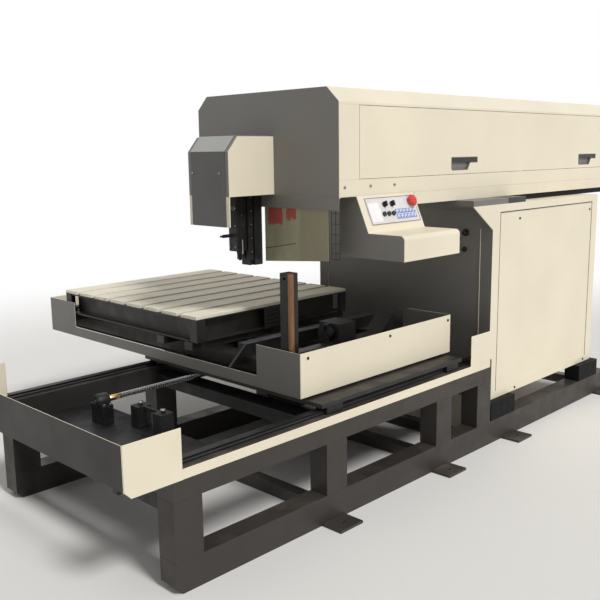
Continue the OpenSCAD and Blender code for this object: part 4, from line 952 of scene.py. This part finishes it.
# Cutting head: places from the slide's left face, the focus tube's axis and its foot
LENS_BOX_HALF = 29.5 * MM
FRONT_SCREWS = [mm(side, rise) for side in (-20, 20) for rise in (22, 122, 212)]
FLANK_SCREWS = (mm(29, 171), mm(36, 122))
GIB_SCREWS = mm(*range(40, 340, 65))
GIB_INSET = 12 * MM
PIN_R = 4 * MM
PIN_L = 69 * MM
PIN_INSET = 29 * MM
PIN_DROP = 14 * MM
PLUG_PLACE = mm(-13, 204)


class MACHINE_OT_head_fittings(bpy.types.Operator):
    """Screws, guide pin and plug on the lens box and the gib screws of the slide"""

    bl_idname = "machine.head_fittings"
    bl_label = "Head fittings"

    def execute(self, context):
        fittings = context.scene.machine_fittings
        low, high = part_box("z_slide")
        tube_low, tube_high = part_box("focus_tube")
        middle = (tube_low.y + tube_high.y) / 2
        foot = tube_low.z
        side = middle - LENS_BOX_HALF
        places = [facing(Vector((low.x, middle + y, foot + z)), LEFT) for y, z in FRONT_SCREWS]
        places += [facing(Vector((low.x + x, side, foot + z)), FRONT) for x, z in FLANK_SCREWS]
        places += [facing(Vector((high.x - GIB_INSET, low.y, low.z + z)), FRONT) for z in GIB_SCREWS]
        fasten("head_screws", template(socket_head, fittings.head_screw_d), places, "z_head")
        place = Vector((low.x + PIN_INSET, side - PIN_R, foot - PIN_DROP))
        fasten("guide_pin", template(guide_pin, PIN_R, PIN_L), [Matrix.Translation(place)], "z_head")
        place = Vector((low.x, middle + PLUG_PLACE[0], foot + PLUG_PLACE[1]))
        fasten("lens_plug", template(pan_head, fittings.plug_d), [facing(place, LEFT)], "z_head")
        return {"FINISHED"}


# Glands in the cabinet's end: from its front edge, from its top, and size
GLANDS = (mm(96, 113, 40), mm(136, 150, 18), mm(102, 205, 30))
CABINET_POST = 72 * MM
SEAM_W = 4 * MM
SEAM_RISE = 1 * MM
SEAM_DROP = 88 * MM
GAP_STRIP_RISE = 0.3 * MM
GAP_STRIP_ROOT = 1 * MM
TRIM_EDGE = 0.4 * MM
# Open rack: its front and rear end before the plate's edge, its upper and lower end and its wires' drops
RACK_REACH = mm(68, 20)
RACK_DROPS = mm(30, 277)
RACK_SHELVES = mm(71, 118, 164, 206, 248, 276)
RACK_WIRE = 3 * MM
RACK_EDGE = 0.5 * MM


class MACHINE_OT_cabinet_fittings(bpy.types.Operator):
    """Cable glands, seam, black strips of painted shade in the cabinet's joints, and the open rack beside the
    film-covered plate
    """

    bl_idname = "machine.cabinet_fittings"
    bl_label = "Cabinet fittings"

    def execute(self, context):
        low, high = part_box("cabinet_side_panels")
        glands = None
        for inset, drop, size in GLANDS:
            place = Vector((low.x, low.y + inset, high.z - drop))
            glands = strew(template(gland, size), [facing(place, LEFT)], glands)
        new_piece("cable_glands", glands, "black_plastic", "machine")
        seam = bmesh.new()
        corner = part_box("cabinet_panels")[0].x - CABINET_POST - SEAM_RISE
        rounded_box(seam, (corner, low.y, low.z), (low.x, low.y + SEAM_W, high.z - SEAM_DROP), TRIM_EDGE)
        new_piece("end_panel_seam", seam, "cream_paint", "machine")
        # Black strips as painted shade in the cabinet's shadow gaps
        shadow_gap_strips = self.shadow_gap_strips(context.scene.machine_fittings.shadow_gap_w)
        new_piece("panel_shadow_gaps", shadow_gap_strips, "black_plastic", "machine")
        new_piece("open_rack", self.rack(), "black_plastic", "machine")
        return {"FINISHED"}

    def shadow_gap_strips(self, width):
        """Black strips as painted shade in the joints above the cabinet's front and rear panels and on their bed
        side.
        """
        bm = bmesh.new()
        low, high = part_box("cabinet_panels")
        front, rear = (corner.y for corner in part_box("cabinet_frame"))
        for near, far in (
            (front - GAP_STRIP_RISE, low.y + GAP_STRIP_ROOT),
            (high.y - GAP_STRIP_ROOT, rear + GAP_STRIP_RISE),
        ):
            rounded_box(bm, (low.x, near, low.z), (low.x + width, far, high.z), TRIM_EDGE)
            rounded_box(bm, (low.x, near, high.z - width), (high.x, far, high.z), TRIM_EDGE)
        return bm

    def rack(self):
        bm = bmesh.new()
        low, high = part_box("arm_plate")
        near, far = (low.y - off for off in RACK_REACH)
        top, foot = (high.z - drop for drop in RACK_DROPS)
        for y in (near, (near + far) / 2, far):
            start = (low.x, y - RACK_WIRE / 2, foot)
            rounded_box(bm, start, (low.x + RACK_WIRE, y + RACK_WIRE / 2, top), RACK_EDGE)
        for drop in RACK_SHELVES:
            start = (low.x, near, high.z - drop)
            rounded_box(bm, start, (low.x + RACK_WIRE, far, start[2] + RACK_WIRE), RACK_EDGE)
        return bm


# End stop's bolts from the bed's front left corner, and the X screw's bearing bolts
STOP_BOLTS = (mm(394, 594), mm(394, 764))
STOP_SEAT = 479 * MM
BEARING_SEAT = 460.4 * MM
BEARING_START = 5 * MM
BEARING_BOLTS = [mm(x, y) for x in (12, 42) for y in (-42.5, 42.5)]
NIPPLE_INSET = 7 * MM


class MACHINE_OT_bed_bolts(bpy.types.Operator):
    """Bright bolts on the end stop and the X screw's bearings, and grease nipples on the guide blocks"""

    bl_idname = "machine.bed_bolts"
    bl_label = "Bed bolts"

    def execute(self, context):
        fittings = context.scene.machine_fittings
        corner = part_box("bed_beams")[0]
        places = [Matrix.Translation((corner.x + x, corner.y + y, STOP_SEAT)) for x, y in STOP_BOLTS]
        fasten("stop_bolts", template(pan_head, fittings.stop_bolt_d), places, "machine")
        low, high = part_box("x_screw_bearings")
        middle = (low.y + high.y) / 2
        places = []
        for start in (low.x + BEARING_START, high.x - BEARING_L):
            for x, y in BEARING_BOLTS:
                places.append(Matrix.Translation((start + x, middle + y, BEARING_SEAT)))
        fasten("bearing_bolts", template(socket_head, fittings.bearing_bolt_d), places, "machine")
        fasten("grease_nipples", template(nipple, fittings.nipple_d), self.nipple_places(), "x_carriage")
        return {"FINISHED"}

    def nipple_places(self):
        """Both ends of every guide block, near the side that is away from its rail."""
        places = []
        for low, high in solids_of("bearing_blocks"):
            axis = 0 if high.x - low.x > high.y - low.y else 1
            for end, way in ((low, -1), (high, 1)):
                normal = Vector((0, 0, 0))
                normal[axis] = way
                place = (low + high) / 2
                place[axis] = end[axis]
                place.z = high.z - NIPPLE_INSET if axis == 0 else low.z + NIPPLE_INSET
                places.append(facing(place, normal))
        return places


# Share of its reach at which the floor starts to become the backdrop, film width in mm, lamp distance
CLEAR_START = 0.45
FILM_WIDTH = 36
LAMP_DISTANCE = 5


class MACHINE_OT_studio(bpy.types.Operator):
    """Pale floor, soft light and the camera"""

    bl_idname = "machine.studio"
    bl_label = "Studio"

    def execute(self, context):
        scene = context.scene
        studio = scene.machine_studio
        scene.view_settings.view_transform = "Standard"
        self.floor(scene, studio)
        self.sky(scene, studio)
        self.lamp(scene, studio)
        self.camera(scene, studio)
        return {"FINISHED"}

    def floor(self, scene, studio):
        bm = bmesh.new()
        bmesh.ops.create_grid(bm, x_segments=2, y_segments=2, size=studio.floor_reach)
        mesh = bpy.data.meshes.new("floor")
        bm.to_mesh(mesh)
        bm.free()
        self.floor_finish(studio)
        mesh.materials.append(MATERIALS["floor"])
        floor = bpy.data.objects.new("floor", mesh)
        scene.collection.objects.link(floor)

    def floor_finish(self, studio):
        """Pale floor that keeps the shadow near the machine and becomes the backdrop further out."""
        finish = Finish("floor")
        tone = finish.mix(finish.noise(0.8, 3), scaled(studio.floor, 0.98), studio.floor)
        finish.set("Base Color", tone)
        finish.set("Roughness", 0.8)
        place = finish.coordinates.outputs["Object"]
        distance = finish.add("ShaderNodeVectorMath", {0: place}, operation="LENGTH")
        start = CLEAR_START * studio.clear_reach
        far = finish.level(distance.outputs["Value"], start, studio.clear_reach)
        share = finish.times(far, finish.seen_directly())
        white = finish.add("ShaderNodeEmission").outputs[0]
        blend = finish.add("ShaderNodeMixShader", {0: share, 1: finish.shader.outputs[0], 2: white})
        finish.give(finish.tree.nodes["Material Output"].inputs["Surface"], blend.outputs[0])

    def sky(self, scene, studio):
        scene.world = bpy.data.worlds.new("studio")
        scene.world.use_nodes = True
        nodes = NodeSheet(scene.world.node_tree)
        light = nodes.tree.nodes["Background"].inputs
        inputs = {"Value": nodes.seen_directly(), "To Min": studio.sky, "To Max": 1}
        nodes.give(light["Color"], (1, 1, 1))
        nodes.give(light["Strength"], nodes.add("ShaderNodeMapRange", inputs).outputs["Result"])

    def lamp(self, scene, studio):
        lamp = bpy.data.lights.new("key_lamp", "SUN")
        lamp.energy = studio.key
        lamp.angle = studio.key_spread
        holder = bpy.data.objects.new("key_lamp", lamp)
        level = math.cos(studio.key_height)
        place = Vector((
            -level * math.sin(studio.key_side), -level * math.cos(studio.key_side),
            math.sin(studio.key_height),
        ))
        holder.rotation_euler = (-place).to_track_quat("-Z", "Y").to_euler()
        holder.location = place * LAMP_DISTANCE
        scene.collection.objects.link(holder)

    def camera(self, scene, studio):
        camera = bpy.data.cameras.new("camera")
        camera.lens = studio.lens
        camera.sensor_width = FILM_WIDTH
        holder = bpy.data.objects.new("camera", camera)
        scene.collection.objects.link(holder)
        level = math.cos(studio.pitch)
        ahead = Vector((
            level * math.cos(studio.yaw), level * math.sin(studio.yaw), math.sin(studio.pitch),
        ))
        right = Vector((math.sin(studio.yaw), -math.cos(studio.yaw), 0))
        up = right.cross(ahead)
        turn = Matrix((right, up, -ahead)).transposed() @ Matrix.Rotation(studio.roll, 3, "Z")
        holder.matrix_world = Matrix.Translation(studio.place) @ turn.to_4x4()
        scene.camera = holder


OPERATORS = (
    MACHINE_OT_finish_solids,
    MACHINE_OT_panel_screws,
    MACHINE_OT_rail_bolts,
    MACHINE_OT_ball_screws,
    MACHINE_OT_control_panel,
    MACHINE_OT_head_fittings,
    MACHINE_OT_cabinet_fittings,
    MACHINE_OT_bed_bolts,
    MACHINE_OT_studio,
)


class MACHINE_PT_sidebar(bpy.types.Panel):
    """Lists the steps that dress the machine"""

    bl_label = "Cutting machine"
    bl_idname = "MACHINE_PT_sidebar"
    bl_space_type = "VIEW_3D"
    bl_region_type = "UI"
    bl_category = "Cutting machine"

    def draw(self, context):
        for operator in OPERATORS:
            self.layout.operator(operator.bl_idname)


SETTINGS = {
    "machine_paint": PaintSettings,
    "machine_fittings": FittingSettings,
    "machine_studio": StudioSettings,
}


def register():
    for group in (*SETTINGS.values(), *OPERATORS, MACHINE_PT_sidebar):
        bpy.utils.register_class(group)
    for name, group in SETTINGS.items():
        setattr(bpy.types.Scene, name, PointerProperty(type=group))


def unregister():
    for name in SETTINGS:
        delattr(bpy.types.Scene, name)
    for group in (MACHINE_PT_sidebar, *reversed(OPERATORS), *reversed(SETTINGS.values())):
        bpy.utils.unregister_class(group)


def main():
    register()
    for operator in OPERATORS:
        group, step = operator.bl_idname.split(".")
        getattr(getattr(bpy.ops, group), step)()


if __name__ == "__main__":
    main()
